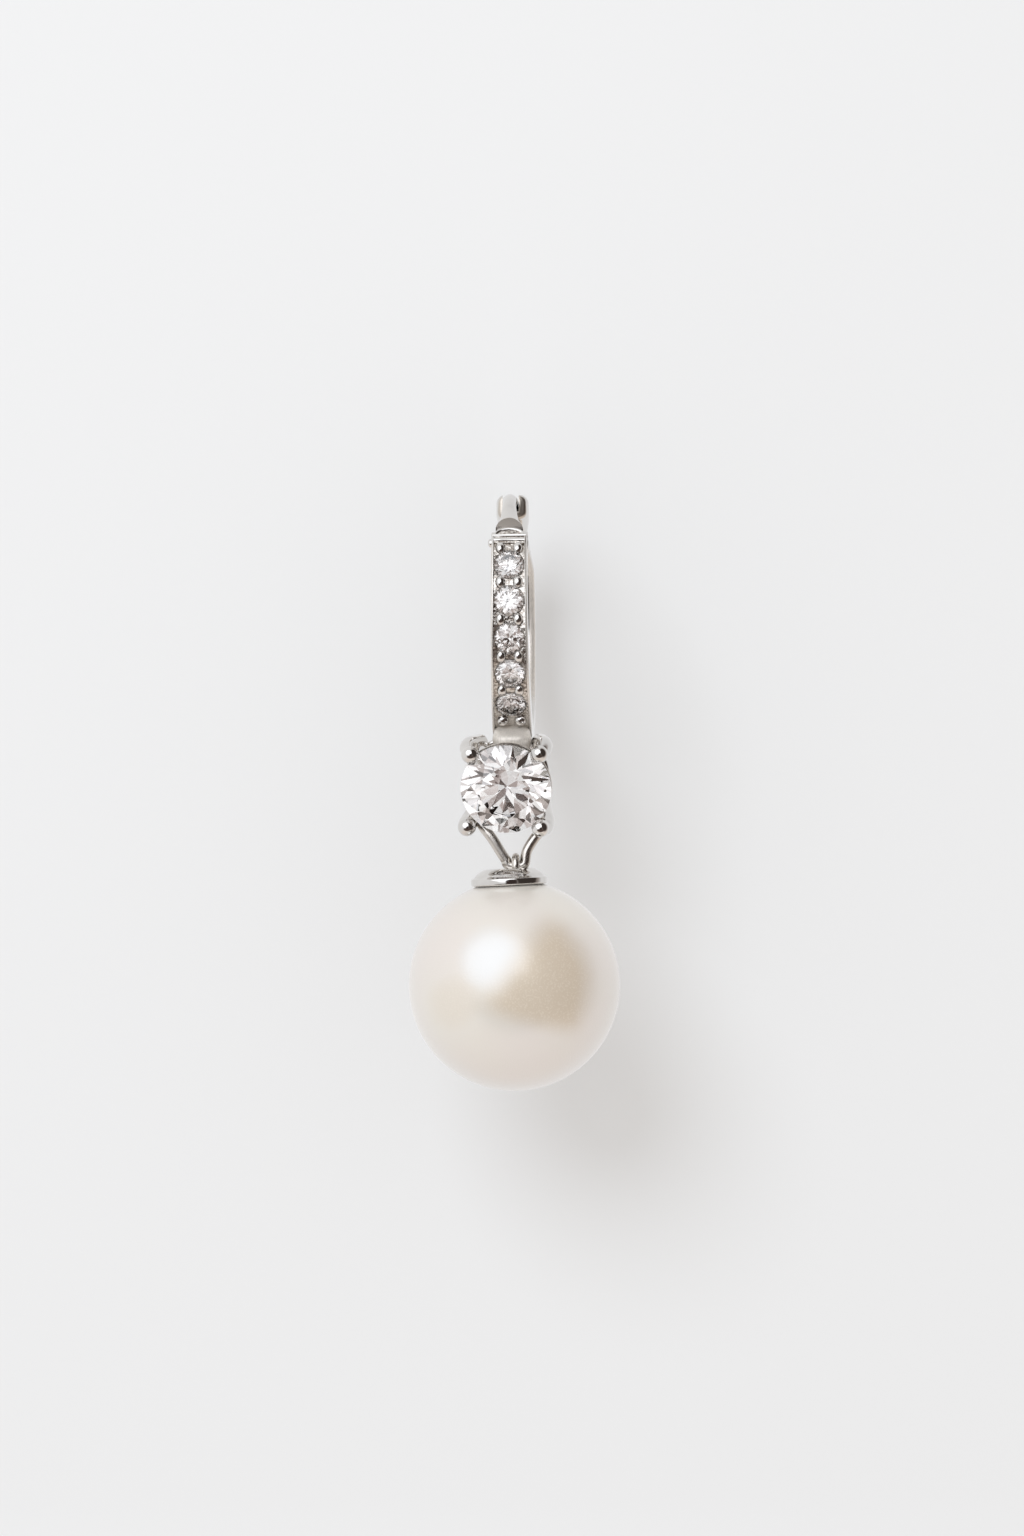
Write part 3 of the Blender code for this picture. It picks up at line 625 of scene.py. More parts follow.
def polished_silver(name, worked=None, filed=None, ground=None):
    """Rhodium-plated silver: a mirror with a faint ripple, hairlines and a little haze.

    Where it is worked with gravers it is greyer and uneven, which in the band's channel and seats
    is painted shade. Where it is filed it is dull, and on the wire's chin its darker tint is a
    painted reflection. Where it is ground it is nearly matt."""
    material, graph, shader = new_material(name)
    place = graph.node("ShaderNodeTexCoord", output=3)
    ripple = graph.noise(place, 1600.0)
    haze = graph.noise(place, 700.0, 3.0)
    stretched = graph.node(
        "ShaderNodeMapping", {}, {"Vector": place, "Scale": (26000.0, 26000.0, 2600.0)}
    )
    hairs = graph.noise(stretched, 1.0, 1.0)
    darker = rgb(*(channel * 0.88 for channel in SILVER))
    tint = graph.mix(graph.step(haze, 0.35, 0.7), rgb(*SILVER), darker)
    dull = POLISHED_ROUGH + HAZY_ROUGH * graph.step(haze, 0.4, 0.75)
    height = ripple + 0.12 * hairs
    if worked is not None:
        share = worked(graph, place)
        cuts = graph.noise(place, 7000.0)
        cut_tint = graph.mix(graph.step(cuts, 0.36, 0.6), rgb(*WORKED_DARK_AND_SHADE), rgb(*WORKED_SILVER))
        tint = graph.mix(share, tint, cut_tint)
        dull = dull + share * WORKED_ROUGH
        height = height + 14.0 * (share * cuts)
    if filed is not None:
        share = filed(graph, place)
        tint = graph.mix(share, tint, rgb(*FILED_SILVER))
        dull = dull + share * FILED_ROUGH
    metal = 1.0
    if ground is not None:
        share = ground(graph, place)
        lines = graph.step(hairs, 0.35, 0.6)
        dark_ground = rgb(*(channel * 0.8 for channel in GROUND_SILVER))
        tint = graph.mix(share, tint, graph.mix(lines, dark_ground, rgb(*GROUND_SILVER)))
        dull = dull + share * GROUND_ROUGH
        height = height + 1.5 * (share * hairs)
        metal = 1 - GROUND_MATT * share
    graph.feed(shader.inputs["Base Color"], tint)
    graph.feed(shader.inputs["Roughness"], dull)
    graph.feed(shader.inputs["Metallic"], metal)
    bump = graph.node(
        "ShaderNodeBump", {}, {"Strength": 0.35, "Distance": 9e-6, "Height": height}
    )
    graph.feed(shader.inputs["Normal"], bump)
    return material


def in_box(graph, place, low, high, soft):
    """1 inside a box of the piece's own space and 0 outside it."""
    inside = 1.0
    for axis in range(3):
        if low[axis] is None:
            continue
        along = graph.dot(place, Vector([float(i == axis) for i in range(3)]))
        inside = inside * graph.step(along, low[axis] - soft, low[axis] + soft)
        inside = inside * (1 - graph.step(along, high[axis] - soft, high[axis] + soft))
    return inside


def hoop_radius(graph, place):
    """How far a place is from the hoop's axis."""
    across = graph.node(
        "ShaderNodeMapping",
        {},
        {"Vector": place, "Location": (0.0, 0.0, -HOOP_CENTRE_Z), "Scale": (0.0, 1.0, 1.0)},
    )
    return graph.node("ShaderNodeVectorMath", {"operation": "LENGTH"}, {0: across}, output=1)


# Where each finish lies, the channel's painted shade among them. Radii of the hoop and places out
# # from its middle are the two ends of a soft edge, and a box is its low corner, its high corner
# and
# # how soft its sides are.
BELOW_RIMS = (HOOP_R - 0.05 * MM, HOOP_R - 0.02 * MM)
ABOVE_BACK = (HOOP_R - 1.2 * MM, HOOP_R - 1.0 * MM)
BETWEEN_RIMS = (HOOP_WIDTH / 2 - 0.14 * MM, HOOP_WIDTH / 2 - 0.1 * MM)
FRONT_HALF = (0.0, 0.3 * MM)
FORK_ENDS = ((None, 0.2 * MM, -0.7 * MM), (None, 0.68 * MM, 1.0 * MM), 0.02 * MM)
FOOT_HALF = HOOP_WIDTH / 2 - RIM * 1.3
FOOT_BOX = ((-FOOT_HALF, -4.2 * MM, -11.0 * MM), (FOOT_HALF, -2.0 * MM, -10.0 * MM), 0.04 * MM)
RIMS_BOX = ((None, -7.0 * MM, -10.6 * MM), (None, -2.0 * MM, -1.75 * MM), 0.1 * MM)
RIMS_OUT = (0.70 * MM, 0.74 * MM)
RIMS_R = (HOOP_R - 0.4 * MM, HOOP_R - 0.2 * MM)
RIMS_SHARE = 0.55
BAR_WIDENING = 0.0107
BACK_BOX = ((None, 3.4 * MM, -10.4 * MM), (None, 7.0 * MM, -0.5 * MM), 0.5 * MM)
BACK_OUT = (0.60 * MM, 0.70 * MM)
BACK_R = (5.28 * MM, 5.34 * MM)
BACK_SHARE = 0.85


def from_middle(graph, place):
    """How far a place is from the hoop's middle plane, to either side."""
    return abs(graph.dot(place, Vector((1.0, 0.0, 0.0))))


def channel_painted_shade(graph, place):
    """1 on the channel's floor and walls and in the seats, where shade is painted, 0 on the rest of
    the band.
    """
    radius = hoop_radius(graph, place)
    ahead = graph.dot(place, Vector((0.0, -1.0, 0.0)))
    below = 1 - graph.step(radius, *BELOW_RIMS)
    between = 1 - graph.step(from_middle(graph, place), *BETWEEN_RIMS)
    inside = between * graph.step(ahead, *FRONT_HALF)
    return below * graph.step(radius, *ABOVE_BACK) * inside


def on_fork_ends(graph, place):
    """1 on the two ends of the fork, which are left as the file made them."""
    return in_box(graph, place, *FORK_ENDS)


def where_ground(graph, place):
    """A share where the band is ground: the channel's foot, the rims and the back's inner edges."""
    radius = hoop_radius(graph, place)
    side = from_middle(graph, place)
    widening = BAR_WIDENING * graph.dot(place, Vector((0.0, 0.0, 1.0)))
    on_rims = graph.step(side + widening, *RIMS_OUT) * graph.step(radius, *RIMS_R)
    on_rims = on_rims * in_box(graph, place, *RIMS_BOX)
    inner = in_box(graph, place, *BACK_BOX) * (1 - graph.step(radius, *BACK_R))
    inner = inner * graph.step(side, *BACK_OUT)
    return in_box(graph, place, *FOOT_BOX) + RIMS_SHARE * on_rims + BACK_SHARE * inner


# The darker worked tint in the channel and seats is painted shade of the recess.
set_silver = polished_silver("bright_cut_and_shaded_silver", channel_painted_shade, on_fork_ends, where_ground)
dress(band, set_silver, "polished_silver", "hoop", "hoop_frame")


# ---- Bar beads: the round grains of silver that hold the small stones down ----
# They are raised from the band itself with a graver and burnished round, a pair between each two
# stones and a pair at each end. All but the last pair are a little longer than wide.
BEAD_R = 0.245 * MM
BEAD_SIDE = 0.41 * MM
BEAD_LENGTH = 1.3
LAST_BEAD_R = 0.3 * MM
BEAD_STEP_DEG = 8.65
LAST_ROW_DEG = -54.6
BEAD_ROWS = [STONE_DEGREES[0] + BEAD_STEP_DEG]
BEAD_ROWS += [degrees - BEAD_STEP_DEG for degrees in STONE_DEGREES[:-1]] + [LAST_ROW_DEG]
ROUND_DEG = 180.0


def ball(bm, centre, radius, sides=24, stretch=None):
    """Adds a round ball to a bmesh, stretched by a matrix about its centre."""
    made = bmesh.ops.create_uvsphere(bm, u_segments=sides, v_segments=sides // 2, radius=radius)
    if stretch is not None:
        bmesh.ops.transform(bm, verts=made["verts"], matrix=stretch)
    bmesh.ops.translate(bm, verts=made["verts"], vec=centre)


bm = bmesh.new()
for degrees in BEAD_ROWS:
    turned_out = hoop_axes(0.0, degrees).to_3x3().to_4x4()
    stretch = turned_out @ Matrix.Diagonal((1.0, BEAD_LENGTH, 1.0, 1.0))
    radius = BEAD_R
    if degrees == LAST_ROW_DEG:
        radius, stretch = LAST_BEAD_R, None
    for side in (-1, 1):
        ball(bm, hoop_point(floor_r, degrees, side * BEAD_SIDE), radius, stretch=stretch)
beads = new_object("bar_beads", bm, ROUND_DEG)
silver = polished_silver("polished_silver")
dress(beads, silver, "polished_silver", "hoop")


# ---- Hinge: the boss and the arched tab at the top of the bar, and its cross rib ----
# The boss is a short tube soldered across the bar's end and slotted for the knuckle. The tab is a
# thin arched plate that stops the ear wire.
TAB_WIDTH = 1.46 * MM
TAB_DEG = 41.0
TAB_SHOULDER = 0.06 * MM
TAB_ARCH = 0.37 * MM
TAB_ROOT = 0.5 * MM
TAB_STEPS = 32
TAB_RIM_R = 0.075 * MM
RIB_R = 0.075 * MM
RIB_DEG = 40.6
RIB_SOFTENING = 0.02 * MM
HINGE_SOFTENING = 0.03 * MM
BAR_TOP_WIDTH = HOOP_WIDTH * 0.9
BOSS_R = 0.52 * MM
BOSS_LENGTH = BAR_TOP_WIDTH + RIM / 2
ROD_SIDES = 48
WIRE_SHARP_DEG = 60.0


def cross_rod(centre, radius, length):
    """A round rod along X, as a closed bmesh."""
    bm = bmesh.new()
    bmesh.ops.create_cone(
        bm, cap_ends=True, segments=ROD_SIDES, radius1=radius, radius2=radius, depth=length
    )
    bm.transform(Matrix.Translation(centre) @ Matrix.Rotation(math.pi / 2, 4, "Y"))
    return close_up(bm)


def whole_turn(steps):
    """The angles of this many equal steps round a circle."""
    return [2 * math.pi * step / steps for step in range(steps)]


def wire_rings(route, sides=32):
    """Rings of a round wire along a route of (x, y, z, radius), without twist."""
    points = [Vector(step[:3]) for step in route]
    rings = []
    across = None
    for i, step in enumerate(route):
        ahead = (points[min(i + 1, len(points) - 1)] - points[max(i - 1, 0)]).normalized()
        if across is None:
            across = ahead.orthogonal().normalized()
        across = (across - ahead * across.dot(ahead)).normalized()
        other = ahead.cross(across)
        ring = []
        for turn in whole_turn(sides):
            ring.append(points[i] + (across * math.cos(turn) + other * math.sin(turn)) * step[3])
        rings.append(ring)
    return rings


boss = new_object("hinge_boss", cross_rod(hoop_point(PIN_ORBIT, PIN_DEG), BOSS_R, BOSS_LENGTH))
cut(boss, [hinge_slot()])
soften(boss, HINGE_SOFTENING)
dress(boss, silver, "polished_silver", "hoop")

half = TAB_WIDTH / 2
arch = []
for step in range(TAB_STEPS + 1):
    turn = math.pi * step / TAB_STEPS
    arch.append((half * math.cos(turn), TAB_SHOULDER + TAB_ARCH * math.sin(turn)))
outline = arch + [(-half, -TAB_ROOT), (half, -TAB_ROOT)]
tab_axes = hoop_axes(HOOP_R, TAB_DEG)
rings = [
    [tab_axes @ Vector((side, up, level)) for side, up in outline]
    for level in (-TAB_THICKNESS, -TAB_RIM_R * 1.1)
]
tab = new_object("hinge_tab", close_up(loft(rings)))
soften(tab, HINGE_SOFTENING)
worked_silver = polished_silver("graver_cut_silver", lambda graph, place: 1.0)
dress(tab, worked_silver, "polished_silver", "hoop")

# The tab's rim is a thin wire along the arch, whose two ends stand in the cross rib.
shrink = (half - TAB_RIM_R) / half
route = [(half * shrink, -TAB_RIM_R / 2)]
route += [(side * shrink, up - TAB_RIM_R) for side, up in arch]
route += [(-half * shrink, -TAB_RIM_R / 2)]
route = [(*(tab_axes @ Vector((side, up, -TAB_RIM_R))), TAB_RIM_R) for side, up in route]
rim = new_object("tab_rim", close_up(loft(wire_rings(route, sides=20))), WIRE_SHARP_DEG)
dress(rim, silver, "polished_silver", "hoop")

rib = new_object(
    "top_rib", cross_rod(hoop_point(HOOP_R - RIB_R, RIB_DEG), RIB_R, BAR_TOP_WIDTH - RIM / 2)
)
soften(rib, RIB_SOFTENING)
dress(rib, silver, "polished_silver", "hoop")


# ---- Hinge pin: the drawn silver pin through the boss ----
# Cut from wire, pushed through boss and knuckle, and its two ends are burred round with a cup tool.
PIN_R = 0.21 * MM
PIN_PROUD = 0.2 * MM
PIN_FLUSH = 0.06 * MM
PIN_ROUNDING = PIN_R * 0.7
pin_length = BAR_TOP_WIDTH + PIN_PROUD + PIN_FLUSH
pin_place = hoop_point(PIN_ORBIT, PIN_DEG, (PIN_FLUSH - PIN_PROUD) / 2)
pin = new_object("hinge_pin_shown", cross_rod(pin_place, PIN_R, pin_length))
soften(pin, PIN_ROUNDING, steps=5)
dress(pin, silver, "polished_silver", "hoop", "hinge_pin")


# ---- Ear wire: the hinged wire that goes through the ear ----
# Drawn silver wire, forged flat and wide into a neck with a shoulder just above the hinge, where a
# flat chin is filed on it, and soldered to a knuckle that turns on the pin.
WIRE_ORBIT = 5.62 * MM
WIRE_DEPTH = 0.7 * MM
WIRE_WIDTH = 0.74 * MM
WIRE_SIDES = 40
WIRE_STEPS = 110

# Degrees, then how far the wire's middle has come from the pin's orbit to its own, and its depth
# and width as shares.
WIRE_SECTIONS = (
    (118.0, 1.00, 0.06, 0.06),
    (117.6, 1.00, 0.42, 0.42),
    (116.8, 1.00, 0.68, 0.68),
    (115.6, 1.00, 0.86, 0.86),
    (114.0, 1.00, 0.96, 0.96),
    (111.0, 1.00, 1.00, 1.00),
    (84.0, 1.00, 1.00, 0.96),
    (74.0, 0.97, 1.00, 0.88),
    (68.0, 0.88, 1.00, 0.94),
    (62.0, 0.68, 1.00, 1.08),
    (58.0, 0.60, 1.00, 1.26),
    (56.0, 0.58, 1.00, 1.48),
    (54.0, 0.52, 0.98, 1.70),
    (53.0, 0.45, 0.97, 1.78),
    (52.2, 0.35, 0.95, 1.80),
    (51.8, 0.25, 0.92, 1.06),
    (46.5, 0.03, 0.90, 1.04),
)
CHIN_FORWARD = 3.2 * MM
CHIN_SLOPE = 0.05
CHIN_SHARP_DEG = 30.0
CHIN_BOX = ((None, -4.0 * MM, -1.2 * MM), (None, -CHIN_FORWARD + 0.05 * MM, 0.0), 0.01 * MM)
rings = []
top, foot = WIRE_SECTIONS[0][0], WIRE_SECTIONS[-1][0]
angles = [top + (foot - top) * i / WIRE_STEPS for i in range(WIRE_STEPS + 1)]
angles += [row[0] for row in WIRE_SECTIONS[1:-1]]
for degrees in sorted(set(angles), reverse=True):
    rise, depth, width = read_table(WIRE_SECTIONS, degrees)
    middle = PIN_ORBIT + (WIRE_ORBIT - PIN_ORBIT) * rise
    ring = []
    for turn in whole_turn(WIRE_SIDES):
        radius = middle + math.sin(turn) * WIRE_DEPTH * depth / 2
        across = WIRE_SIDE * rise + math.cos(turn) * WIRE_WIDTH * width / 2
        ring.append(hoop_point(radius, degrees, across))
    rings.append(ring)


def slice_off(bm, point, outward, dist=0.0):
    """Cuts off what lies beyond a plane and closes the cut."""
    sliced = bmesh.ops.bisect_plane(
        bm,
        geom=[*bm.verts, *bm.edges, *bm.faces],
        dist=dist,
        plane_co=point,
        plane_no=outward,
        clear_outer=True,
    )
    edges = [piece for piece in sliced["geom_cut"] if isinstance(piece, bmesh.types.BMEdge)]
    if len(edges) > 2:
        bmesh.ops.contextual_create(bm, geom=edges)


bm = close_up(loft(rings))
slice_off(bm, (0.0, -CHIN_FORWARD, 0.0), (0.0, -1.0, -CHIN_SLOPE))
wire = new_object("ear_wire_shown", close_up(bm), CHIN_SHARP_DEG)


def chin_painted_dark(graph, place):
    """1 on the flat filed on the neck's chin, its darker tint a painted reflection, 0 on the rest
    of the wire.
    """
    return in_box(graph, place, *CHIN_BOX)


# The chin is dull from filing, and its darker tint is a painted reflection of the dark room.
filed_chin_painted_silver = polished_silver("filed_chin_painted_silver", filed=chin_painted_dark)
dress(wire, filed_chin_painted_silver, "polished_silver", "ear_wire", "ear_wire")

knuckle = new_object(
    "hinge_knuckle", cross_rod(hoop_point(PIN_ORBIT, PIN_DEG), KNUCKLE_R, KNUCKLE_WIDTH)
)
soften(knuckle, HINGE_SOFTENING)
dress(knuckle, silver, "polished_silver", "ear_wire")


# ---- Stones: round brilliants of clear cubic zirconia ----
# Each is cut and polished by machine to a table, 8 stars, 8 kites and 16 halves above a ground
# girdle, with 8 mains and 16 halves below it. The five small ones sit in the bar.
TABLE_SHARE = 0.57
CROWN_DEG = 34.5
STAR_DEG = 21.0
UPPER_HALF_DEG = 41.5
PAVILION_DEG = 41.0
LOWER_HALF_DEG = 42.3
GIRDLE_HALF = 0.03
GIRDLE_SIDES = 64
FACET_SHARP_DEG = 0.1
BAR_TWIST_DEG = 9.0


def brilliant(diameter, matrix):
    """A round brilliant with its girdle at the middle of the axes and its table up Z.

    A plane cuts each facet from a block of radius 1. It is given by its slope, which is less than
    0 below the girdle, and its azimuth."""
    bm = bmesh.new()
    bmesh.ops.create_cube(bm, size=4.0)
    crown_height = GIRDLE_HALF + (1 - TABLE_SHARE) * math.tan(math.radians(CROWN_DEG))
    facets = [(0.0, 0.0)]
    for i in range(GIRDLE_SIDES):
        facets.append((90.0, 360 / GIRDLE_SIDES * i))
    for i in range(8):
        facets.append((CROWN_DEG, 45.0 * i))
        facets.append((STAR_DEG, 45.0 * i + 22.5))
        facets.append((-PAVILION_DEG, 45.0 * i))
    for i in range(16):
        facets.append((UPPER_HALF_DEG, 22.5 * i + 11.25))
        facets.append((-LOWER_HALF_DEG, 22.5 * i + 11.25))
    for tilt, azimuth in facets:
        slope = math.radians(abs(tilt))
        turn = math.radians(azimuth)
        out = math.sin(slope)
        up = -1.0 if tilt < 0 else 1.0
        normal = Vector((out * math.cos(turn), out * math.sin(turn), up * math.cos(slope)))
        if tilt == 90.0:
            reach = math.cos(math.pi / GIRDLE_SIDES)
        elif tilt == 0.0:
            reach = crown_height
        elif tilt == STAR_DEG:
            edge = TABLE_SHARE * math.cos(math.pi / 8)
            reach = edge * out + crown_height * math.cos(slope)
        elif abs(tilt) in (UPPER_HALF_DEG, LOWER_HALF_DEG):
            reach = out * math.cos(math.pi / 16) + GIRDLE_HALF * math.cos(slope)
        else:
            reach = out + GIRDLE_HALF * math.cos(slope)
        slice_off(bm, normal * reach, normal, dist=1e-6)
    bmesh.ops.remove_doubles(bm, verts=bm.verts, dist=1e-5)
    bm.transform(matrix @ Matrix.Scale(diameter / 2, 4))
    return close_up(bm)


def cut_stone_finish(name):
    """Clear cubic zirconia with its high refraction and very slightly warm body."""
    material, graph, shader = new_material(name)
    place = graph.node("ShaderNodeTexCoord", output=3)
    cloud = graph.noise(place, 900.0)
    tint = graph.mix(graph.step(cloud, 0.3, 0.7), rgb(1.0, 1.0, 1.0), rgb(0.985, 0.97, 0.965))
    graph.feed(shader.inputs["Base Color"], tint)
    shader.inputs["Roughness"].default_value = 0.0
    shader.inputs["IOR"].default_value = 2.16
    shader.inputs["Transmission Weight"].default_value = 1.0
    return material


clear = cut_stone_finish("clear_stone")
for number, degrees in enumerate(STONE_DEGREES, start=1):
    turn = Matrix.Rotation(math.radians(BAR_TWIST_DEG * number), 4, "Z")
    bm = brilliant(STONE_D, hoop_axes(floor_r, degrees) @ turn)
    stone = new_object(f"bar_stone_{number}_shown", bm, FACET_SHARP_DEG)
    stone.data.shade_flat()
    dress(stone, clear, "clear_stone", "hoop", f"bar_stone_{number}")


# ---- Basket: four round prongs, a gallery and a base ring that hold the large stone ----
# Bent and soldered from thick round silver wire. Each prong is bent over the girdle and its tip
# is rounded to a ball with a cup burr.
BIG_STONE_D = 4.3 * MM
BIG_STONE_DROP = 2.04 * MM
BIG_STONE_FORWARD = 4.1 * MM
TILT_DEG = 16.0
YAW_DEG = 3.5
FIRST_PRONG_DEG = 46.5
PRONG_TIP_R = 0.43 * MM
BASKET_DEPTH = 2.9 * MM
BASKET_SIDE = -0.10 * MM
BIG_TWIST_DEG = 12.0
HOOP_LOW_Z = HOOP_CENTRE_Z - HOOP_R
TURNED_SIDES = 96
ROUTE_STEPS = 8

# Orbit and depth below the girdle, then the wire's radius, in millimetres.
PRONG_ROUTE = (
    (1.98, -3.03, 0.05),
    (1.985, -3.01, 0.17),
    (2.00, -2.96, 0.27),
    (2.03, -2.87, 0.355),
    (2.07, -2.76, 0.405),
    (2.11, -2.62, 0.43),
    (2.22, -2.03, 0.46),
    (2.51, -1.10, 0.46),
    (2.58, -0.45, 0.44),
    (2.56, -0.12, 0.36),
    (2.42, 0.20, 0.28),
)

basket_place = (BASKET_SIDE, BASKET_DEPTH - BIG_STONE_FORWARD, HOOP_LOW_Z - BIG_STONE_DROP)
basket_axes = (
    Matrix.Translation(basket_place)
    @ Matrix.Rotation(math.radians(-YAW_DEG), 4, "Z")
    @ Matrix.Translation((0.0, -BASKET_DEPTH, 0.0))
    @ Matrix.Rotation(math.radians(90 + TILT_DEG), 4, "X")
)


def smooth_route(points, steps):
    """Points on a smooth curve through the given ones, this many to each stretch."""
    ends = [points[0], *points, points[-1]]
    route = []
    for a, b, c, d in zip(ends, ends[1:], ends[2:], ends[3:]):
        for step in range(steps):
            t = step / steps
            bend = 2 * b + (c - a) * t + (2 * a - 5 * b + 4 * c - d) * t**2
            route.append((bend + (3 * b - a - 3 * c + d) * t**3) / 2)
    return [*route, points[-1]]


def turned(profile, matrix):
    """A body turned about Z from (radius, height) points."""
    rings = []
    for turn in whole_turn(TURNED_SIDES):
        rings.append(
            [matrix @ Vector((r * math.cos(turn), r * math.sin(turn), h)) for r, h in profile]
        )
    bm = loft(rings, closed=True)
    bmesh.ops.remove_doubles(bm, verts=bm.verts, dist=1e-8)
    return close_up(bm)


def rounded_ring(inner, outer, low, high, edge):
    """The outline of a ring with round edges, as (radius, height) points."""
    points = []
    corners = ((outer, high, 0), (inner, high, 90), (inner, low, 180), (outer, low, 270))
    for radius, height, start in corners:
        side = -1 if radius == outer else 1
        level = -1 if height == high else 1
        points += arc_corner(radius + side * edge, height + level * edge, edge, start)
    return points


# How far each prong's tip stands off its even place, as hand setting leaves it, to the side and up
# in millimetres. A prong leans from this depth on.
PRONG_NUDGES = ((-0.02, 0.0), (0.04, 0.0), (-0.22, -0.05), (-0.08, -0.13))
LEAN_DEPTH = 2.67
first = math.radians(FIRST_PRONG_DEG)
turns = (first, math.pi - first, math.pi + first, -first)
for number, (turn, nudge) in enumerate(zip(turns, PRONG_NUDGES), start=1):
    outward = Vector((math.cos(turn), math.sin(turn), 0.0))
    stops = []
    for orbit, depth, radius in PRONG_ROUTE:
        reach = max(0.0, 1.0 + depth / LEAN_DEPTH)
        side = outward.x * orbit + nudge[0] * reach
        up = outward.y * orbit + nudge[1] * reach
        stops.append(Vector((side, up, depth, radius)) * MM)
    route = []
    for step in smooth_route(stops, ROUTE_STEPS):
        place = basket_axes @ step.xyz
        route.append((*place, step.w))
    bm = loft(wire_rings(route))
    prong = new_object(f"prong_{number}", close_up(bm), WIRE_SHARP_DEG)
    dress(prong, silver, "polished_silver", "hoop")
    bm = bmesh.new()
    ball(bm, basket_axes @ stops[-1].xyz, PRONG_TIP_R, sides=48)
    tip = new_object(f"prong_tip_{number}", bm, ROUND_DEG)
    dress(tip, silver, "polished_silver", "hoop")

# The gallery's outline, which narrows toward the back, in millimetres.
GALLERY = ((2.12, -0.45), (2.14, -0.50), (1.95, -1.22), (1.91, -1.25), (1.76, -1.25), (1.88, -0.45))
gallery = new_object(
    "gallery", turned([(radius * MM, height * MM) for radius, height in GALLERY], basket_axes)
)
gallery_silver = polished_silver("filed_gallery_silver", filed=lambda graph, place: 0.7)
dress(gallery, gallery_silver, "polished_silver", "hoop")

# The base ring's inner and outer radius, the heights of its two faces and its rounded edge.
BASE_RING = (1.4 * MM, 1.85 * MM, -2.9 * MM, -2.5 * MM, 0.12 * MM)
base = new_object("base_ring", turned(rounded_ring(*BASE_RING), basket_axes))
dress(base, silver, "polished_silver", "hoop")

bm = brilliant(BIG_STONE_D, basket_axes @ Matrix.Rotation(math.radians(BIG_TWIST_DEG), 4, "Z"))
stone = new_object("centre_stone_shown", bm, FACET_SHARP_DEG)
stone.data.shade_flat()
dress(stone, clear, "clear_stone", "hoop", "centre_stone")


# ---- Collar: the short block between the foot of the bar and the basket ----
# Cut from silver to fit both, soldered to them and left ground.
COLLAR_TOP = -1.2
COLLAR_SPAN = 1.35
COLLAR_STEPS = 18
COLLAR_ROUND = 0.8
COLLAR_SOFTENING = 0.12 * MM

# How far below the hoop's foot, then forward, half depth and half width, in millimetres.
COLLAR_SECTIONS = (
    (-1.20, 2.45, 0.35, 0.66),
    (-0.70, 2.92, 0.62, 0.84),
    (-0.30, 3.12, 0.74, 0.92),
    (0.15, 3.15, 0.64, 0.86),
)
rings = []
for step in range(COLLAR_STEPS + 1):
    below = COLLAR_TOP + COLLAR_SPAN * step / COLLAR_STEPS
    forward, half_depth, half_width = read_table(COLLAR_SECTIONS, below)
    edge = half_depth * COLLAR_ROUND
    ring = []
    for side, back, start in ((1, 1, 0), (-1, 1, 90), (-1, -1, 180), (1, -1, 270)):
        ring += arc_corner(side * (half_width - edge), back * (half_depth - edge), edge, start)
    height = HOOP_LOW_Z - below * MM
    rings.append([Vector((side * MM, (depth - forward) * MM, height)) for side, depth in ring])
collar = new_object("collar", close_up(loft(rings)))
soften(collar, COLLAR_SOFTENING, steps=4)
ground_silver = polished_silver("ground_silver", ground=lambda graph, place: 1.0)
dress(collar, ground_silver, "polished_silver", "hoop")


# ---- V wire: the bent wire under the basket that carries the drop ----
# Round silver wire, soldered behind the two lower prongs and bent to a narrow U at the bottom.
SWING_AXIS = Vector((0.0, -3.0, -17.02)) * MM

# The wire's sizes, and each leg from its prong down, the right one first: to the side, forward and
# below the hoop's foot, in millimetres.
V_WIRE_R = 0.25
V_SIDE = 0.12
V_BEND = 0.27
V_BEND_STEPS = 8
V_HALF_WIDTH = 0.45
V_LEGS = (
    (
        (1.46, 2.60, 3.46),
        (1.40, 2.82, 3.76),
        (1.19, 2.95, 4.05),
        (0.88, 2.99, 4.42),
        (0.54, 3.00, 4.98),
    ),
    (
        (1.66, 2.60, 3.46),
        (1.57, 2.82, 3.76),
        (1.35, 2.95, 4.06),
        (1.05, 2.99, 4.47),
        (0.71, 3.00, 5.03),
    ),
)
low_mm = HOOP_LOW_Z / MM
legs = []
for leg in V_LEGS:
    stops = [Vector((side, -ahead, low_mm - below)) for side, ahead, below in leg]
    bend_centre = SWING_AXIS / MM + Vector((V_HALF_WIDTH - V_BEND, 0.0, V_BEND))
    for step in range(V_BEND_STEPS + 1):
        turn = math.pi / 2 * step / V_BEND_STEPS
        stops.append(bend_centre + Vector((math.cos(turn), 0.0, -math.sin(turn))) * V_BEND)
    split = len(leg) + 1
    legs.append(smooth_route(stops[:split], ROUTE_STEPS) + stops[split:])
whole = legs[0] + [Vector((-point.x, point.y, point.z)) for point in reversed(legs[1])]
route = [(*((point + Vector((V_SIDE, 0.0, 0.0))) * MM), V_WIRE_R * MM) for point in whole]
v_wire = new_object("v_wire", close_up(loft(wire_rings(route))), WIRE_SHARP_DEG)
drawn_silver = polished_silver("drawn_silver", filed=lambda graph, place: 0.6)
dress(v_wire, drawn_silver, "polished_silver", "hoop")


# ---- Pearl cap: the domed cup with its eye, glued on the pearl ----
# Spun from silver sheet with a rolled rim, with a wire eye soldered on its crown.
PEARL_DROP = 5.65 * MM
CAP_LEAN = math.radians(2.2)
CAP_STEPS = 3
CAP_SHARP_DEG = 50.0

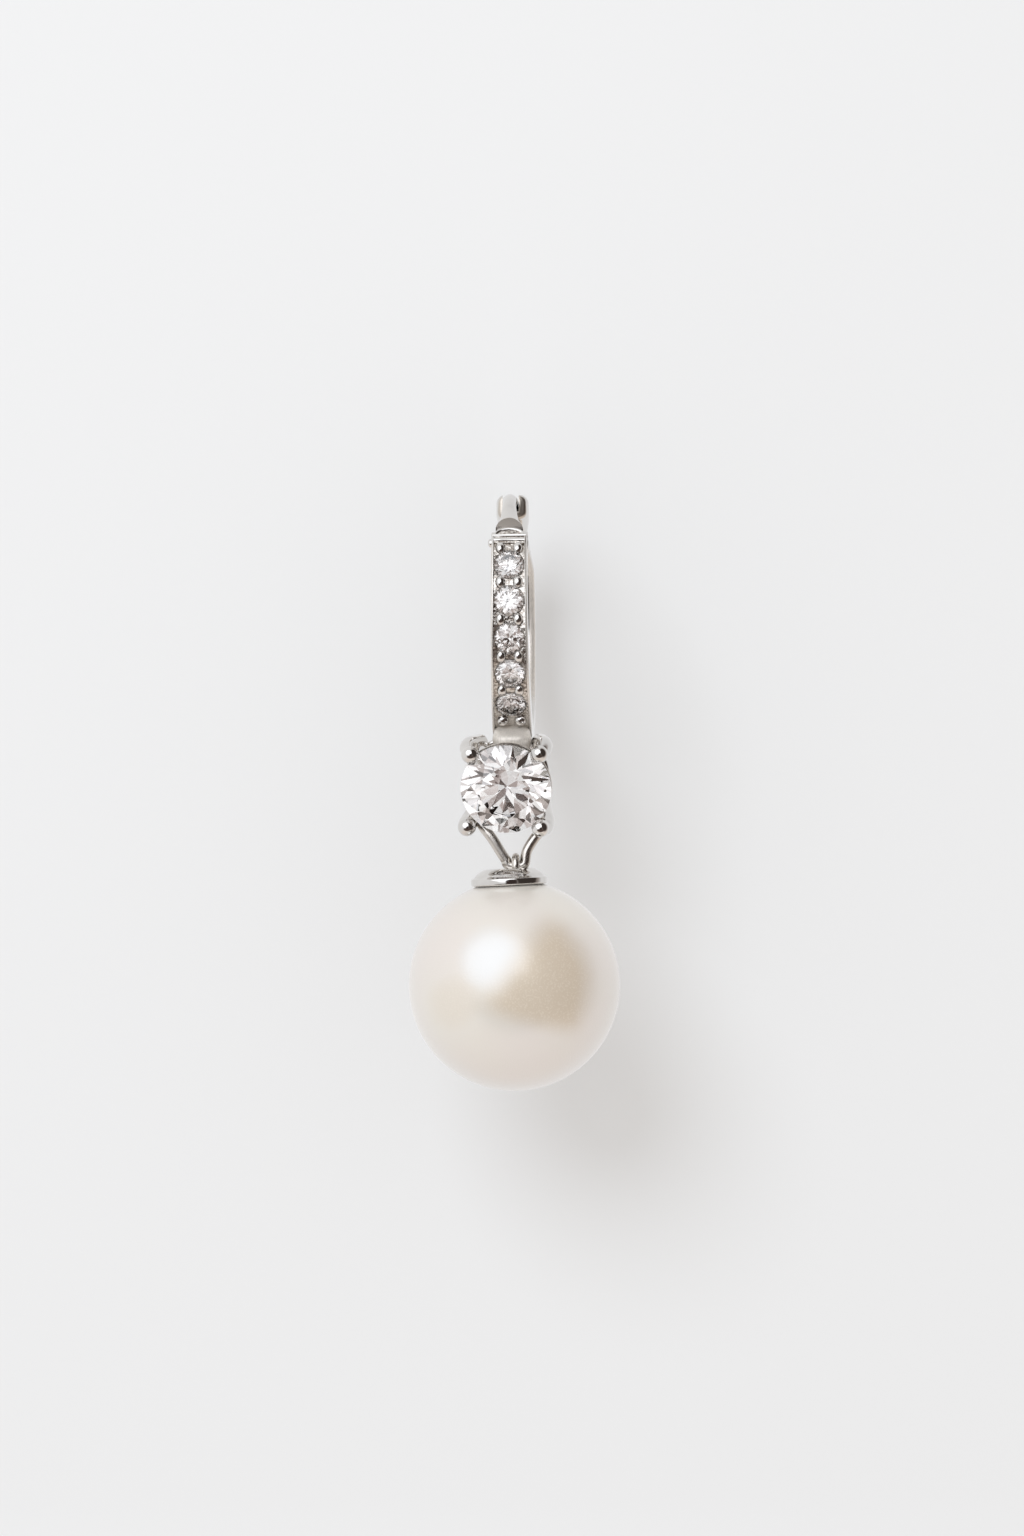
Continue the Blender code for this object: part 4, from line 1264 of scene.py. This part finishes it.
# From the crown's middle over the rim and back below: radius and height, in millimetres.
CAP_PROFILE = (
    (0.00, -0.31),
    (0.76, -0.31),
    (0.88, -0.25),
    (0.96, -0.19),
    (1.04, -0.13),
    (1.12, -0.11),
    (1.24, -0.15),
    (1.40, -0.24),
    (1.56, -0.36),
    (1.67, -0.48),
    (1.74, -0.53),
    (1.80, -0.57),
    (1.82, -0.62),
    (1.82, -0.76),
    (1.81, -0.84),
    (1.75, -0.89),
    (1.60, -0.88),
    (1.20, -0.74),
    (0.60, -0.61),
    (0.00, -0.57),
)
points = smooth_route([Vector((r, h, 0.0)) for r, h in CAP_PROFILE], CAP_STEPS)
profile = [(max(point.x, 0.0) * MM, point.y * MM) for point in points]
# The pearl hangs a little to the right, so the cap leans to the left round the pearl's middle.
cap_axes = (
    Matrix.Translation(SWING_AXIS - Vector((0.0, 0.0, PEARL_DROP)))
    @ Matrix.Rotation(-CAP_LEAN, 4, "Y")
    @ Matrix.Translation((0.0, 0.0, PEARL_DROP))
)
cap = new_object("pearl_cap_shown", turned(profile, cap_axes), CAP_SHARP_DEG)
dress(cap, silver, "polished_silver", "drop", "pearl_cap")

EYE_WIRE_R = 0.18 * MM
EYE_R = 0.45 * MM
EYE_SIDE = V_SIDE * MM
EYE_STEPS = 48
EYE_SIDES = 20
rings = []
for turn in whole_turn(EYE_STEPS):
    out = Vector((0.0, math.cos(turn), math.sin(turn)))
    ring = []
    for lean in whole_turn(EYE_SIDES):
        ring.append(
            SWING_AXIS
            + out * (EYE_R + EYE_WIRE_R * math.cos(lean))
            + Vector((EYE_SIDE + EYE_WIRE_R * math.sin(lean), 0.0, 0.0))
        )
    rings.append(ring)
eye = new_object("cap_eye", close_up(loft(rings, closed=True)), ROUND_DEG)
dress(eye, drawn_silver, "polished_silver", "drop")


# ---- Pearl: a round cream pearl, half drilled for the cap's peg ----
# A bead coated with thin layers of nacre, tumbled and waxed. The layers give it a soft deep shine
# # with a faint grain. The warm tone on a part of its front is a painted reflection of the dark
# room,
# # with light flecks in it as painted glints.
PEARL_R = 5.0 * MM
PEARL_SIDES = 160
CREAM = (0.70, 0.66, 0.597)
ROSE = (0.70, 0.645, 0.602)
REFLECTED_CHAMPAGNE = (0.62, 0.52, 0.40)
REFLECTED_HONEY = (0.60, 0.495, 0.375)
HIGHLIGHT_MILK = (0.685, 0.685, 0.68)
GLINT_FLECK = (1.0, 0.93, 0.82)

# Where its painted tones lie, in shares of its radius across and up from its middle, each as the
# two
# # ends of a soft edge. The painted reflection begins along a slanting line and ends inside the
# # outline and above a second slanting line, with a fainter spot on the left. The milky spot at the
# # upper left is a painted highlight tint. All their edges wander a little.
FRONT = (0.3, 0.7)
REFLECTION_TOWARD = (0.805, -0.593)
REFLECTION_FROM = (-0.28, 0.08)
REFLECTION_WITHIN = (0.58, 0.84)
REFLECTION_SLANT = 0.3
REFLECTION_ABOVE = (-0.42, -0.14)
REFLECTION_SHARE = 0.9
REFLECTED_SPOT = ((-0.56, -0.14), 0.09)
REFLECTED_SPOT_SHARE = 0.35
HIGHLIGHT_MILKY_SPOT = ((-0.18, 0.26), 0.14)
REFLECTED_HONEY_FROM = (0.10, 0.60)
WANDER = 0.10
bm = bmesh.new()
ball(bm, SWING_AXIS - Vector((0.0, 0.0, PEARL_DROP)), PEARL_R, PEARL_SIDES)
pearl = new_object("pearl_shown", bm, ROUND_DEG)
material, graph, shader = new_material("pearl_nacre")
place = graph.node("ShaderNodeTexCoord", output=3)
bands = graph.noise(place, 160.0)
grain = graph.noise(place, 12000.0, 1.0)
wander = WANDER * (graph.noise(place, 420.0) - 0.5)
across = graph.dot(place, Vector((1.0, 0.0, 0.0)) / PEARL_R) + wander
middle_z = SWING_AXIS.z - PEARL_DROP
upright = graph.dot(place, Vector((0.0, 0.0, 1.0)) / PEARL_R) - middle_z / PEARL_R + wander
front = graph.step(graph.dot(place, Vector((0.0, -1.0, 0.0)) / PEARL_R), *FRONT)


def spot(middle, size):
    """1 at a middle on the pearl's front, and 0 from this squared distance on."""
    side, up = across - middle[0], upright - middle[1]
    return (1 - graph.step(side * side + up * up, 0.0, size)) * front


out = graph.node("ShaderNodeMath", {"operation": "SQRT"}, {0: across * across + upright * upright})
# deep is the share of the painted reflection of the warm room, light flecks in it painted glints.
toward = REFLECTION_TOWARD[0] * across + REFLECTION_TOWARD[1] * upright
deep = graph.step(toward, *REFLECTION_FROM) * (1 - graph.step(out, *REFLECTION_WITHIN))
deep = deep * graph.step(upright + REFLECTION_SLANT * across, *REFLECTION_ABOVE) * front
deep = REFLECTION_SHARE * deep + REFLECTED_SPOT_SHARE * spot(*REFLECTED_SPOT)
fleck = graph.step(grain, 0.50, 0.68)
cream = graph.mix(graph.step(bands, 0.35, 0.65), rgb(*CREAM), rgb(*ROSE))
# A neutral patch painted where the softbox's highlight falls: a painted highlight tint.
cream = graph.mix(spot(*HIGHLIGHT_MILKY_SPOT), cream, rgb(*HIGHLIGHT_MILK))
reflected_champagne = graph.mix(graph.step(across, *REFLECTED_HONEY_FROM), rgb(*REFLECTED_CHAMPAGNE), rgb(*REFLECTED_HONEY))
reflected_champagne = graph.mix(0.16 * fleck, reflected_champagne, rgb(*GLINT_FLECK))
graph.feed(shader.inputs["Base Color"], graph.mix(deep, cream, reflected_champagne))
graph.feed(shader.inputs["Roughness"], 0.33 + 0.1 * fleck)
bump = graph.node("ShaderNodeBump", {}, {"Strength": 0.5, "Distance": 1.1e-5, "Height": grain})
graph.feed(shader.inputs["Normal"], bump)
shader.inputs["IOR"].default_value = 2.1
shader.inputs["Coat Weight"].default_value = 1.0
shader.inputs["Coat IOR"].default_value = 1.5
shader.inputs["Coat Roughness"].default_value = 0.22
shader.inputs["Sheen Weight"].default_value = 0.3
shader.inputs["Sheen Roughness"].default_value = 0.4
dress(pearl, material, "pearl_nacre", "drop", "pearl")
